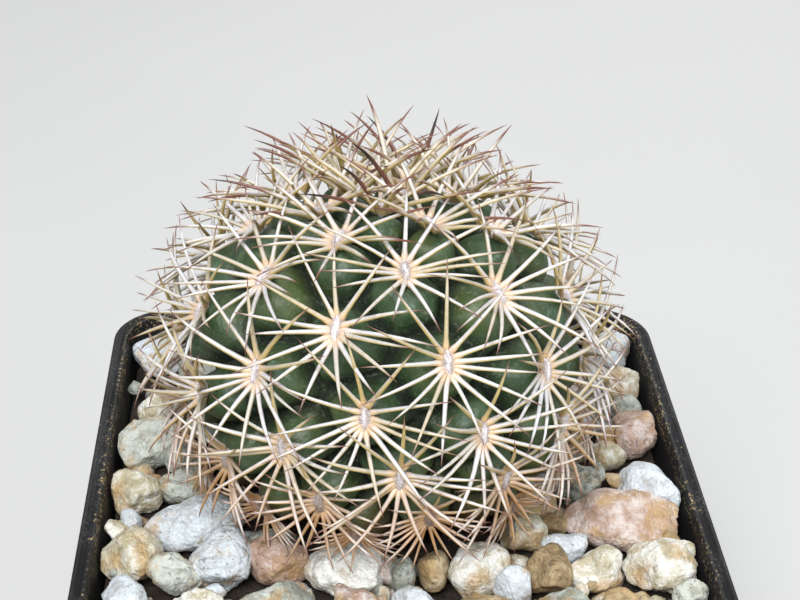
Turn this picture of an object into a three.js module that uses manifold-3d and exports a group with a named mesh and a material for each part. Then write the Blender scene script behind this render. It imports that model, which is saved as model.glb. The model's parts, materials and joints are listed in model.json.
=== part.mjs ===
// A coryphantha, a small round cactus with fans of ivory spines, in a square black plastic pot.
// The pot is filled with soil and topped with loose quartz gravel.
// Millimetres, +Z up, the pot stands on z = 0 and its middle is at x = y = 0. The front is -Y.
import * as THREE from "three";
import { ConvexGeometry } from "three/addons/geometries/ConvexGeometry.js";
import { mergeVertices } from "three/addons/utils/BufferGeometryUtils.js";
import Module from "manifold-3d";

// Pot
const RIM_WIDTH = 80; // the common size of a square nursery pot, outside the lip
const POT_HEIGHT = 75;
const BASE_WIDTH = 57;
const CORNER_RADIUS = 8;
const CORNER_STEPS = 4;
const WALL = 1.2;
const LIP_WIDTH = 1.9;
const LIP_HEIGHT = 4;
const LIP_GROOVE = 0.4;
const FLOOR_THICKNESS = 1.6;
const HOLE_DIAMETER = 6;
const HOLE_OFFSET = 17;
// Filling
const GAP = 0.3; // play between neighbouring pieces
const SOIL_TOP = 69.2;
const SOIL_ROUGHNESS = 0.5;
const SOIL_RINGS = 7;
const ROOT_RADIUS = 9; // the root neck of the stem, which stands in a hole in the soil
const ROOT_DEPTH = 5;
const STONE_TOP = 75.2;
// Stem
const STEM_CENTRE = new THREE.Vector3(-1.8, 3, 95); // the point that the lean turns about
const LEAN_BACK = 9.8;
const LEAN_SIDE = 1.1;
const BODY_DROP = 5; // the middle of the body below that point
const BODY_RADIUS = 25.5;
const BODY_RISE = 22; // from the middle to the crown
const BODY_FALL = 25.5;
const CROWN_SQUARENESS = 2.3; // of the upper half, where 2 is an ellipse
const FOOT_SQUARENESS = 2;
const TUBERCLE_HEIGHT = 4.4;
const TUBERCLE_SPACING = 10.5; // full height from this distance on
const TUBERCLE_FLAT = 0.3;
// Areoles: one at the tip of each tubercle, along one spiral from the crown down
const FIRST_AREOLE = -4;
const LAST_AREOLE = 75;
const SPIRAL_START = 129.4;
const SPIRAL_TURN = -137.774;
const SPIRAL_STOPS = [-5, 0, 8, 20, 35, 55, 75]; // number along the spiral
const POLAR_STOPS = [3, 18.7, 36, 61, 85.7, 110.8, 130]; // its angle from the crown, in degrees
const LOWEST_AREOLE = 79.9;
const PAD_LENGTH = 3.8;
const PAD_WIDTH = 2;
const PAD_HEIGHT = 1.3;
// Spines
const SPINE_LENGTH = 12;
const CROWN_SPINE_LENGTH = 13.5;
const SPINE_RADIUS = 0.33;
const SPINE_FALL = 18; // rise of a low spine above its tubercle, in degrees
const CROWN_SPINE_RISE = 62;
const SPINE_CLEARANCE = 0.1;
const NEIGHBOUR_REACH = 15;

const rad = THREE.MathUtils.degToRad;
const vec = (x, y, z) => new THREE.Vector3(x, y, z);
const wasm = await Module();
wasm.setup();

// Seeded random numbers in 0..1
function randomFrom(seed) {
  let state = seed;
  return () => {
    state = (Math.imul(state, 1664525) + 1013904223) >>> 0;
    return state / 4294967296;
  };
}

function solidOf(geometry) {
  const bare = new THREE.BufferGeometry();
  const flat = geometry.index ? geometry.toNonIndexed() : geometry;
  bare.setAttribute("position", flat.getAttribute("position"));
  const merged = mergeVertices(bare, 1e-4);
  return new wasm.Manifold(
    new wasm.Mesh({
      numProp: 3,
      vertProperties: merged.attributes.position.array,
      triVerts: new Uint32Array(merged.index.array),
    }),
  );
}

function geometryOf(solid) {
  const mesh = solid.getMesh();
  const geometry = new THREE.BufferGeometry();
  geometry.setAttribute("position", new THREE.BufferAttribute(mesh.vertProperties, 3));
  geometry.setIndex(new THREE.BufferAttribute(mesh.triVerts, 1));
  return geometry;
}

// A closed skin over a stack of rings with equal numbers of points, from the first, lower end to the last
function loft(rings, lastCentre) {
  const count = rings[0].length;
  const points = rings.flat();
  const index = [];
  for (let r = 0; r + 1 < rings.length; r++) {
    for (let i = 0; i < count; i++) {
      const a = r * count + i;
      const b = r * count + ((i + 1) % count);
      index.push(a, b, b + count, a, b + count, a + count);
    }
  }
  const middle = (ring) => ring.reduce((s, p) => s.add(p), vec(0, 0, 0)).divideScalar(count);
  const low = points.push(middle(rings[0])) - 1;
  const high = points.push(lastCentre || middle(rings[rings.length - 1])) - 1;
  const last = (rings.length - 1) * count;
  for (let i = 0; i < count; i++) {
    const next = (i + 1) % count;
    index.push(low, next, i, high, last + i, last + next);
  }
  const geometry = new THREE.BufferGeometry().setFromPoints(points);
  geometry.setIndex(index);
  return geometry;
}

function roundedSquare(half, radius, z) {
  const ring = [];
  for (let corner = 0; corner < 4; corner++) {
    for (let step = 0; step <= CORNER_STEPS; step++) {
      const angle = rad(90 * (corner + step / CORNER_STEPS));
      const quarter = rad(90 * corner + 45);
      const reach = (half - radius) * Math.SQRT2;
      const x = reach * Math.cos(quarter) + radius * Math.cos(angle);
      const y = reach * Math.sin(quarter) + radius * Math.sin(angle);
      ring.push(vec(x, y, z));
    }
  }
  return ring;
}

// Half width of the outside of the wall under the lip, at a height
const WALL_SETBACK = 0.8;
function wallHalf(z) {
  const top = RIM_WIDTH / 2 - WALL_SETBACK;
  return THREE.MathUtils.mapLinear(z, 0, POT_HEIGHT, BASE_WIDTH / 2, top);
}
const innerHalf = (z) => wallHalf(z) - WALL;

// The plant's own frame: upright, centred on the point that it leans about
const lean = new THREE.Matrix4().makeRotationY(rad(-LEAN_SIDE));
lean.multiply(new THREE.Matrix4().makeRotationX(rad(-LEAN_BACK)));
lean.setPosition(STEM_CENTRE);
const unlean = lean.clone().invert();
const bodyMiddle = vec(0, 0, -BODY_DROP);
const footCentre = vec(0, 0, -BODY_DROP - BODY_FALL).applyMatrix4(lean);

// Pot: a tapered square cup with rounded corners, a thin lip with a groove round it, and holes in its floor
function makePot() {
  const rim = RIM_WIDTH / 2;
  const under = POT_HEIGHT - LIP_HEIGHT;
  const r = CORNER_RADIUS;
  const foot = 1;
  const bead = 0.45;
  const rings = [
    roundedSquare(wallHalf(0) - foot, r - 2 * foot, 0),
    roundedSquare(wallHalf(foot), r - foot, foot),
    roundedSquare(wallHalf(under), r - WALL_SETBACK, under),
    roundedSquare(rim, r, under),
    roundedSquare(rim, r, POT_HEIGHT),
    roundedSquare(rim - bead, r - bead, POT_HEIGHT),
    roundedSquare(rim - LIP_WIDTH / 2, r - LIP_WIDTH / 2, POT_HEIGHT - LIP_GROOVE),
    roundedSquare(rim - LIP_WIDTH + bead, r - LIP_WIDTH + bead, POT_HEIGHT),
    roundedSquare(rim - LIP_WIDTH, r - LIP_WIDTH, POT_HEIGHT),
    roundedSquare(innerHalf(under), r - LIP_WIDTH, under),
    roundedSquare(innerHalf(FLOOR_THICKNESS), r - 2 * WALL, FLOOR_THICKNESS),
  ];
  let pot = solidOf(loft(rings));
  const offsets = [[0, 0]];
  for (const sx of [-1, 1]) {
    for (const sy of [-1, 1]) {
      offsets.push([sx * HOLE_OFFSET, sy * HOLE_OFFSET]);
    }
  }
  for (const [x, y] of offsets) {
    const radius = HOLE_DIAMETER / 2;
    const hole = new THREE.CylinderGeometry(radius, radius, 4 * FLOOR_THICKNESS, 12);
    hole.rotateX(Math.PI / 2).translate(x, y, 0);
    pot = pot.subtract(solidOf(hole));
  }
  return geometryOf(pot);
}

// Soil: it fills the pot to a rough, nearly level top
function makeSoil() {
  const random = randomFrom(5);
  const under = POT_HEIGHT - LIP_HEIGHT;
  const r = CORNER_RADIUS - 2 * WALL - GAP;
  const low = FLOOR_THICKNESS + GAP;
  const half = (z) => Math.min(innerHalf(z), innerHalf(under)) - GAP;
  const rings = [roundedSquare(half(low), r, low), roundedSquare(half(SOIL_TOP), r, SOIL_TOP)];
  for (let k = 1; k < SOIL_RINGS; k++) {
    const share = 1 - k / SOIL_RINGS;
    const ring = roundedSquare(half(SOIL_TOP) * share, r * share, SOIL_TOP);
    for (const p of ring) p.z -= SOIL_ROUGHNESS * random();
    rings.push(ring);
  }
  const soil = solidOf(loft(rings, vec(0, 0, SOIL_TOP)));
  return geometryOf(soil.subtract(rootNeck(GAP)));
}

// The round neck under the stem, from its depth in the soil up into the stem
function rootNeck(play) {
  const low = SOIL_TOP - ROOT_DEPTH - play;
  const neck = new THREE.CylinderGeometry(ROOT_RADIUS + play, ROOT_RADIUS + play, 2 * ROOT_DEPTH, 20);
  neck.rotateX(Math.PI / 2).translate(footCentre.x, footCentre.y, low + ROOT_DEPTH);
  return solidOf(neck);
}

// Distance from the body's middle to the surface through the tubercle tips, in a direction
function envelope(direction) {
  const k = direction.z > 0 ? CROWN_SQUARENESS : FOOT_SQUARENESS;
  const side = Math.hypot(direction.x, direction.y) / BODY_RADIUS;
  const up = Math.abs(direction.z) / (direction.z > 0 ? BODY_RISE : BODY_FALL);
  return (side ** k + up ** k) ** (-1 / k);
}
const onBody = (direction) => direction.clone().multiplyScalar(envelope(direction)).add(bodyMiddle);

// Outward normal of that surface
function bodyNormal(direction) {
  const p = direction.clone().multiplyScalar(envelope(direction));
  const side = Math.hypot(p.x, p.y);
  const k = p.z > 0 ? CROWN_SQUARENESS : FOOT_SQUARENESS;
  const height = p.z > 0 ? BODY_RISE : BODY_FALL;
  const outward = (side / BODY_RADIUS) ** (k - 1) / BODY_RADIUS;
  const upward = Math.sign(p.z) * (Math.abs(p.z) / height) ** (k - 1) / height;
  const share = side > 1e-6 ? outward / side : 0;
  return vec(p.x * share, p.y * share, upward).normalize();
}

// A smooth curve through the stops
function alongStops(stops, values, at) {
  const last = stops.length - 1;
  const slope = (i) => {
    const a = Math.max(i - 1, 0);
    const b = Math.min(i + 1, last);
    return (values[b] - values[a]) / (stops[b] - stops[a]);
  };
  let i = 0;
  while (i < last - 1 && at > stops[i + 1]) i++;
  const h = stops[i + 1] - stops[i];
  const t = (at - stops[i]) / h;
  const s = 1 - t;
  const ends = values[i] * (1 + 2 * t) * s * s + values[i + 1] * (3 - 2 * t) * t * t;
  return ends + h * (slope(i) * t * s * s - slope(i + 1) * t * t * s);
}

// Areoles with the frame of each: normal, meridian down the stem, side
const areoles = [];
for (let n = FIRST_AREOLE; n <= LAST_AREOLE; n++) {
  const polar = rad(alongStops(SPIRAL_STOPS, POLAR_STOPS, n));
  const direction = new THREE.Vector3().setFromSphericalCoords(1, polar, 0);
  const turn = rad(SPIRAL_START + n * SPIRAL_TURN);
  direction.set(direction.z, 0, direction.y).applyAxisAngle(vec(0, 0, 1), turn);
  const tip = onBody(direction);
  if (tip.clone().applyMatrix4(lean).z < LOWEST_AREOLE) continue;
  const normal = bodyNormal(direction);
  const side = vec(-direction.y, direction.x, 0).normalize();
  const down = side.clone().cross(normal);
  areoles.push({ n, polar, direction, tip, normal, side, down });
}

// Relief of the tubercles: the surface lies this much inside the envelope
function creaseDepth(direction) {
  const p = onBody(direction);
  const d = areoles.map((a) => a.tip.distanceTo(p)).sort((a, b) => a - b);
  const share = Math.min(1, (2 * d[0]) / (d[0] + d[1]));
  const height = TUBERCLE_HEIGHT * Math.min(1, (d[0] + d[1]) / TUBERCLE_SPACING);
  const slope = Math.max(0, (share - TUBERCLE_FLAT) / (1 - TUBERCLE_FLAT));
  return height * slope ** 1.9;
}

function stemPoint(direction) {
  const depth = creaseDepth(direction);
  const p = direction.clone().multiplyScalar(envelope(direction) - depth).add(bodyMiddle);
  return p.applyMatrix4(lean);
}

// Stem: points at the tips, round them and in the creases, joined to a closed skin
function makeStem() {
  const directions = [];
  const spread = (direction, least) => {
    const p = onBody(direction);
    if (directions.every((q) => onBody(q).distanceTo(p) > least)) directions.push(direction);
  };
  for (const a of areoles) spread(a.direction, 0);
  const around = (a, count, turn, reach) => {
    for (let k = 0; k < count; k++) {
      const angle = (2 * Math.PI * (k + turn)) / count;
      const step = a.down.clone().multiplyScalar(Math.cos(angle)).addScaledVector(a.side, Math.sin(angle));
      const distance = reach(a, step);
      const p = a.tip.clone().addScaledVector(step, distance).sub(bodyMiddle).normalize();
      spread(p, 1.25);
    }
  };
  // How far from a tip its crease lies in the direction of a step
  const toCrease = (a, step) => {
    let nearest = 9;
    for (const b of areoles) {
      const across = b.tip.clone().sub(a.tip);
      const along = across.dot(step);
      if (b !== a && along > 0) nearest = Math.min(nearest, across.lengthSq() / (2 * along));
    }
    return nearest;
  };
  for (const a of areoles) around(a, 12, 0, toCrease);
  for (const a of areoles) around(a, 7, 0, (b, step) => Math.min(1.8, toCrease(b, step) * 0.5));
  for (const a of areoles) around(a, 8, 0.5, (b, step) => toCrease(b, step) * 0.62);
  const golden = Math.PI * (3 - Math.sqrt(5));
  const count = 260;
  for (let k = 0; k < count; k++) {
    const z = 1 - (2 * k + 1) / count;
    const s = Math.sqrt(1 - z * z);
    spread(vec(s * Math.cos(k * golden), s * Math.sin(k * golden), z), 3.2);
  }
  const geometry = new ConvexGeometry(directions);
  const position = geometry.getAttribute("position");
  const lowest = SOIL_TOP + GAP;
  for (let i = 0; i < position.count; i++) {
    const p = stemPoint(new THREE.Vector3().fromBufferAttribute(position, i).normalize());
    position.setXYZ(i, p.x, p.y, Math.max(p.z, lowest));
  }
  return geometryOf(solidOf(geometry).add(rootNeck(0)));
}

// Gravel that shows in front, at both sides and behind the plant: x, y, length, width, turn, kind
const WHITE = "stone_white";
const CREAM = "stone_cream";
const ROSE = "stone_rose";
const OCHRE = "stone_ochre";
const GREY = "stone_grey";
const STONE_SWELL = 1.12; // each stone a little larger than it shows, so that neighbours meet
const PLACED_STONES = [
  [-33.2, 31, 8.2, 7.4, 20, WHITE],
  [-33, 8.6, 8.6, 9.4, 0, GREY],
  [-28.4, 4.4, 5, 5, 0, GREY],
  [-33.8, -2.6, 7, 5.4, 0, CREAM],
  [-27.6, -2.4, 7.6, 5.6, -8, GREY],
  [-33.2, -16.2, 7.8, 7.8, 30, CREAM],
  [-25.6, -9.6, 13, 7.6, 20, WHITE],
  [-22, -17, 9.4, 7.8, 75, WHITE],
  [-28, -20.2, 7.8, 5.2, -25, GREY],
  [-33.8, -24.6, 6.4, 5.2, 0, WHITE],
  [-25, -26, 6.6, 4.8, 0, CREAM],
  [-15, -17.2, 8.6, 6, -22, ROSE],
  [-15.2, -24.8, 9.6, 4.8, 4, GREY],
  [-7, -19.4, 9.8, 7.4, -15, CREAM],
  [1.4, -25.6, 5.8, 4.2, 0, WHITE],
  [3.9, -19.6, 4, 5.2, 0, OCHRE],
  [9.6, -19, 7.8, 6.8, 15, CREAM],
  [13.6, -23.4, 4.8, 4.6, -30, WHITE],
  [16, -12.2, 5.6, 5.4, 0, CREAM],
  [21.2, -15, 6.4, 4.4, -12, WHITE],
  [18.2, -20.4, 5.6, 6.6, 0, OCHRE],
  [24.6, -20.2, 7.2, 5.4, 15, CREAM],
  [26.4, -26, 4.6, 4, 0, OCHRE],
  [28.4, -9.8, 14.4, 9, -12, ROSE],
  [33.6, -2.8, 10.4, 6.6, -65, WHITE],
  [32.2, -19, 9, 8, -20, CREAM],
  [35, -24.8, 4.4, 3.8, 30, GREY],
  [34, 9.6, 6.4, 8, 0, ROSE],
  [24.4, -1.6, 6, 5.4, 0, GREY],
  [29.4, 4.6, 5.2, 3.8, 10, CREAM],
  [30.8, 9.2, 3.6, 3.4, 0, OCHRE],
  [33.8, 15.6, 4, 3.8, 0, GREY],
  [34.2, 22.2, 6, 4.8, 0, CREAM],
  [34, 31.4, 6.2, 6.6, 0, WHITE],
  [25.4, 6.6, 5.2, 3.6, 0, CREAM],
  [-0.1, -20.6, 3.4, 4.6, 0, GREY],
  [-33, 17, 5.6, 4.8, 0, CREAM],
];
const HIDDEN_STONES = 19;
const HIDDEN_RADIUS = 5;
const STONE_POINTS = 22;
const INSIDE = 36.9; // stones keep to this half width

function layStones() {
  const random = randomFrom(11);
  const stones = [];
  for (const [x, y, length, width, turn, kind] of PLACED_STONES) {
    stones.push({ x, y, length: length * STONE_SWELL, width: width * STONE_SWELL, turn, kind });
  }
  const kinds = [CREAM, WHITE, GREY, ROSE, CREAM, OCHRE];
  const foot = 18;
  let misses = 0;
  while (stones.length < PLACED_STONES.length + HIDDEN_STONES && misses < 6000) {
    const radius = HIDDEN_RADIUS * (0.8 + 0.4 * random());
    const x = (2 * random() - 1) * (INSIDE - radius);
    const y = (2 * random() - 1) * (INSIDE - radius);
    const room = (s) => Math.hypot(s.x - x, s.y - y) > 0.8 * radius + 0.42 * s.length;
    const clear = Math.hypot(x - STEM_CENTRE.x, y - STEM_CENTRE.y) > foot + 0.4 * radius;
    if (clear && stones.every(room)) {
      const kind = kinds[stones.length % kinds.length];
      stones.push({ x, y, length: 2 * radius, width: 1.7 * radius, turn: 360 * random(), kind });
    } else {
      misses++;
    }
  }
  return stones;
}

// How far a stone reaches from its middle in the direction of a vector
function reachOf(stone, direction) {
  const angle = Math.atan2(direction.y, direction.x) - rad(stone.turn);
  return Math.hypot(Math.cos(angle) * stone.length, Math.sin(angle) * stone.width) / 2;
}

// A stone: the hull of points spread over an ellipsoid, cut flat where something is in its way
function makeStone(stone, stones, seed) {
  const random = randomFrom(seed);
  const bottom = SOIL_TOP + GAP;
  const height = Math.min(STONE_TOP - bottom, 0.8 * stone.width);
  const middle = vec(stone.x, stone.y, bottom + height / 2);
  const golden = Math.PI * (3 - Math.sqrt(5));
  const limits = [new THREE.Plane(vec(0, 0, 1), -bottom)];
  for (const [x, y] of [[1, 0], [-1, 0], [0, 1], [0, -1]]) limits.push(new THREE.Plane(vec(x, y, 0), INSIDE));
  for (const [x, y] of [[1, 1], [-1, 1], [1, -1], [-1, -1]]) {
    const cut = INSIDE * Math.SQRT2 - (Math.SQRT2 - 1) * CORNER_RADIUS;
    limits.push(new THREE.Plane(vec(x, y, 0).normalize(), cut));
  }
  for (const other of stones) {
    const across = vec(stone.x - other.x, stone.y - other.y, 0);
    const distance = across.length();
    if (other === stone || distance > stone.length + other.length) continue;
    const reach = reachOf(stone, across);
    const share = reach / (reach + reachOf(other, across));
    const normal = across.divideScalar(distance);
    const foot = middle.clone().addScaledVector(normal, GAP / 2 - distance * share);
    limits.push(new THREE.Plane().setFromNormalAndCoplanarPoint(normal, foot));
  }
  const toStone = middle.clone().applyMatrix4(unlean).sub(bodyMiddle).normalize();
  const normal = bodyNormal(toStone);
  const touch = onBody(toStone).addScaledVector(normal, GAP).applyMatrix4(lean);
  limits.push(new THREE.Plane().setFromNormalAndCoplanarPoint(normal.transformDirection(lean), touch));
  const points = [];
  for (let k = 0; k < STONE_POINTS; k++) {
    const up = 1 - (2 * k + 1) / STONE_POINTS;
    const level = Math.sqrt(1 - up * up);
    const angle = k * golden + 0.5 * random();
    const swell = 0.88 + 0.2 * random();
    const p = vec(level * Math.cos(angle) * stone.length, level * Math.sin(angle) * stone.width, up * height);
    p.multiplyScalar(swell / 2).applyAxisAngle(vec(0, 0, 1), rad(stone.turn)).add(middle);
    for (let pass = 0; pass < 8; pass++) {
      for (const plane of limits) {
        const inside = plane.distanceToPoint(p);
        if (inside < 0) p.addScaledVector(plane.normal, -inside);
      }
    }
    points.push(p);
  }
  return new ConvexGeometry(points);
}

// Pads of wool, one on each areole, as a twenty-sided body whose ten faces round the side carry the spines
const icosahedron = { top: vec(0, 0, 1), bottom: vec(0, 0, -1), upper: [], lower: [] };
for (let k = 0; k < 5; k++) {
  const level = 1 / Math.sqrt(5);
  const reach = 2 * level;
  const a = rad(72 * k);
  const b = rad(72 * k + 36);
  icosahedron.upper.push(vec(reach * Math.cos(a), reach * Math.sin(a), level));
  icosahedron.lower.push(vec(reach * Math.cos(b), reach * Math.sin(b), -level));
}

function padPoint(areole, p) {
  const lift = GAP + PAD_HEIGHT / 2;
  const q = areole.tip.clone().addScaledVector(areole.normal, lift + (p.z * PAD_HEIGHT) / 2);
  q.addScaledVector(areole.down, (p.x * PAD_LENGTH) / 2);
  return q.addScaledVector(areole.side, (p.y * PAD_WIDTH) / 2);
}

for (const a of areoles) {
  const top = padPoint(a, icosahedron.top);
  const bottom = padPoint(a, icosahedron.bottom);
  const upper = icosahedron.upper.map((p) => padPoint(a, p));
  const lower = icosahedron.lower.map((p) => padPoint(a, p));
  a.pad = padPoint(a, vec(0, 0, 0));
  a.closed = [];
  a.roots = [];
  for (let k = 0; k < 5; k++) {
    const next = (k + 1) % 5;
    a.closed.push([top, upper[k], upper[next]], [bottom, lower[next], lower[k]]);
    a.roots.push({ face: [upper[k], lower[k], upper[next]] });
    a.roots.push({ face: [upper[next], lower[k], lower[next]] });
  }
  for (const root of a.roots) {
    root.middle = root.face.reduce((s, p) => s.add(p), vec(0, 0, 0)).divideScalar(3);
    const out = root.middle.clone().sub(a.pad);
    root.angle = Math.atan2(out.dot(a.side), out.dot(a.down));
  }
}

// The axis of a spine: root, a point just off the pad, a point past its middle, tip
function spineAxis(a, root, turn, rise, length) {
  const angle = root.angle + rad(turn);
  const level = a.down.clone().multiplyScalar(Math.cos(angle)).addScaledVector(a.side, Math.sin(angle));
  const out = (reach) => root.middle.clone().addScaledVector(level, reach);
  const at = (reach, height) => out(reach).addScaledVector(a.normal, height);
  const c = Math.cos(rad(rise));
  const s = Math.sin(rad(rise));
  const bend = 0.1 * length;
  return [
    root.middle.clone(),
    at(0.85 * c + 0.15, 0.85 * s + 0.1),
    at(0.55 * length * c, 0.55 * length * s + 0.35 * bend),
    at(length * c, length * s - 0.65 * bend),
  ];
}
const AXIS_RADIUS = [SPINE_RADIUS * 1.6, SPINE_RADIUS, SPINE_RADIUS * 0.85, 0.03];

// Distance between two straight pieces, sampled along one of them
function pieceDistance(a0, a1, b0, b1) {
  const line = new THREE.Line3(b0, b1);
  const q = vec(0, 0, 0);
  let least = Infinity;
  for (let k = 0; k <= 8; k++) {
    const p = a0.clone().lerp(a1, k / 8);
    line.closestPointToPoint(p, true, q);
    least = Math.min(least, p.distanceTo(q));
  }
  return least;
}

function clearOfSpines(axis, others) {
  for (const other of others) {
    for (let i = 1; i < 3; i++) {
      for (let j = 1; j < 3; j++) {
        const need = AXIS_RADIUS[i] + AXIS_RADIUS[j] + SPINE_CLEARANCE;
        if (pieceDistance(axis[i], axis[i + 1], other[j], other[j + 1]) < need) return false;
      }
    }
  }
  return true;
}

function clearOfPads(axis, self, allowed) {
  for (const a of areoles) {
    if (a === self || a === allowed || a.pad.distanceTo(self.pad) > 1.3 * NEIGHBOUR_REACH) continue;
    for (let k = 1; k <= 12; k++) {
      const at = (k / 12) * 3;
      const i = Math.min(2, Math.floor(at));
      const p = axis[i].clone().lerp(axis[i + 1], at - i).sub(a.pad);
      const q = vec(p.dot(a.down) / 2.7, p.dot(a.side) / 1.8, p.dot(a.normal) / 1.25);
      if (q.length() < 1) return false;
    }
  }
  return true;
}

function clearOfStem(axis) {
  for (let k = 4; k <= 12; k++) {
    const at = (k / 12) * 3;
    const i = Math.min(2, Math.floor(at));
    const p = axis[i].clone().lerp(axis[i + 1], at - i);
    const world = p.clone().applyMatrix4(lean);
    if (world.z < STONE_TOP + 0.6) return false;
    if (world.z < POT_HEIGHT + 1 && Math.max(Math.abs(world.x), Math.abs(world.y)) > INSIDE + 1) return false;
    const direction = p.clone().sub(bodyMiddle);
    const distance = direction.length();
    direction.divideScalar(distance);
    if (distance < envelope(direction) - creaseDepth(direction) + 0.75) return false;
  }
  return true;
}

// Links, spines whose tips end inside a neighbour's pad: the shortest ones that join all areoles
const placed = [];
const LINK_LIFTS = [1.6, 2.2, 2.8, 3.4, 1.1, 4];

// The root faces of one areole, nearest first to the direction of another
function rootsTowards(from, to) {
  const across = to.pad.clone().sub(from.pad);
  const angle = Math.atan2(across.dot(from.side), across.dot(from.down));
  const off = (root) => Math.abs(Math.atan2(Math.sin(root.angle - angle), Math.cos(root.angle - angle)));
  return from.roots.slice().sort((r, s) => off(r) - off(s));
}

function tryLink(a, b) {
  const goal = b.pad.clone().addScaledVector(b.normal, 0.1);
  const outward = a.normal.clone().add(b.normal).normalize();
  for (const root of rootsTowards(a, b).slice(0, 2)) {
    if (root.axis || root.taken) continue;
    const first = spineAxis(a, root, 0, 30, SPINE_LENGTH)[1];
    for (const lift of LINK_LIFTS) {
      const bow = first.clone().lerp(goal, 0.5).addScaledVector(outward, lift);
      const axis = [root.middle.clone(), first, bow, goal];
      if (!clearOfPads(axis, a, b) || !clearOfSpines(axis, placed)) continue;
      root.axis = axis;
      placed.push(axis);
      const facing = rootsTowards(b, a)[0];
      if (!facing.axis) facing.taken = true;
      return true;
    }
  }
  return false;
}

const pairs = [];
areoles.forEach((a, i) => {
  a.group = i;
  for (const b of areoles.slice(0, i)) {
    const distance = a.pad.distanceTo(b.pad);
    if (distance < NEIGHBOUR_REACH) pairs.push({ a, b, distance });
  }
});
pairs.sort((p, q) => p.distance - q.distance);
for (const { a, b } of pairs) {
  if (a.group === b.group) continue;
  if (!tryLink(a, b) && !tryLink(b, a)) continue;
  const old = a.group;
  for (const c of areoles) {
    if (c.group === old) c.group = b.group;
  }
}

// The other spines: each takes the first of a few turns, rises and lengths that keeps it clear
const random = randomFrom(23);
for (const a of areoles) {
  const crown = THREE.MathUtils.smoothstep(Math.PI - a.polar, rad(125), rad(172));
  const near = placed.filter((axis) => axis[1].distanceTo(a.pad) < 2.4 * NEIGHBOUR_REACH);
  for (const root of a.roots) {
    if (root.axis || root.taken) continue;
    const rise = THREE.MathUtils.lerp(SPINE_FALL, CROWN_SPINE_RISE, crown);
    const length = THREE.MathUtils.lerp(SPINE_LENGTH, CROWN_SPINE_LENGTH, crown) * (0.9 + 0.15 * random());
    search: for (const share of [1, 0.88, 0.75, 0.62, 0.5]) {
      for (const lift of [0, 7, -5, 14, 22, 30]) {
        for (const turn of [0, 6, -6, 12, -12]) {
          const axis = spineAxis(a, root, turn, rise + lift, length * share);
          if (!clearOfStem(axis) || !clearOfPads(axis, a) || !clearOfSpines(axis, near)) continue;
          root.axis = axis;
          placed.push(axis);
          near.push(axis);
          break search;
        }
      }
    }
  }
}

// One three-sided spine grown out of its face of the pad
function spineFaces(face, axis) {
  const rings = [face];
  const middle = axis[0];
  for (const i of [1, 2]) {
    const along = axis[i + 1].clone().sub(axis[i - 1]).normalize();
    const ring = face.map((p) => {
      const out = p.clone().sub(middle);
      out.addScaledVector(along, -out.dot(along)).normalize();
      return axis[i].clone().addScaledVector(out, AXIS_RADIUS[i]);
    });
    rings.push(ring);
  }
  const faces = [];
  for (let j = 0; j < 3; j++) {
    const k = (j + 1) % 3;
    for (const i of [0, 1]) {
      faces.push([rings[i][j], rings[i][k], rings[i + 1][k]]);
      faces.push([rings[i][j], rings[i + 1][k], rings[i + 1][j]]);
    }
    faces.push([rings[2][j], rings[2][k], axis[3]]);
  }
  return faces;
}

// Spines and pads of the whole plant, joined by their links to one body
function makeSpines() {
  const bodies = areoles.map((a) => {
    const faces = a.closed.slice();
    for (const root of a.roots) {
      if (root.axis) faces.push(...spineFaces(root.face, root.axis));
      else faces.push(root.face);
    }
    const points = faces.flat().map((p) => p.clone().applyMatrix4(lean));
    return solidOf(new THREE.BufferGeometry().setFromPoints(points));
  });
  return geometryOf(bodies.reduce((all, body) => all.add(body)));
}

const group = new THREE.Group();
group.name = "potted_coryphantha";
function addPiece(name, geometry, color, roughness) {
  const material = new THREE.MeshStandardMaterial({ color, roughness, metalness: 0 });
  const mesh = new THREE.Mesh(geometry, material);
  mesh.name = name;
  group.add(mesh);
}

addPiece("pot", makePot(), 0x17181a, 0.5);
addPiece("potting_soil", makeSoil(), 0x2e241c, 0.95);
addPiece("stem", makeStem(), 0x3f5a45, 0.55);
addPiece("spines", makeSpines(), 0xd9c9a0, 0.45);
const STONE_COLOURS = {
  stone_white: 0xe4dfd6,
  stone_cream: 0xd8c6a4,
  stone_rose: 0xc79a80,
  stone_ochre: 0xa9793f,
  stone_grey: 0x84897c,
};
const stones = layStones();
stones.forEach((stone, i) => {
  const name = "stone_" + String(i + 1).padStart(2, "0");
  addPiece(name, makeStone(stone, stones, 100 + i), STONE_COLOURS[stone.kind], 0.6);
});

export default group;
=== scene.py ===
# %% [markdown]
# # A coryphantha in a square pot
#
# A coryphantha is a small round cactus. Its stem is covered with plump, pointed bumps called
# tubercles, and each tubercle carries an areole at its tip: a pad of white wool with a fan of spines.
# This one stands in a square black nursery pot, in soil that is topped with quartz gravel.
#
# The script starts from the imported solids, which set every size and place, and gives each of them a
# finer piece with its real surface.

# %% Load the solids
import json
import math

import bmesh
import bpy
import numpy as np
from mathutils import Matrix, Vector, noise

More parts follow.
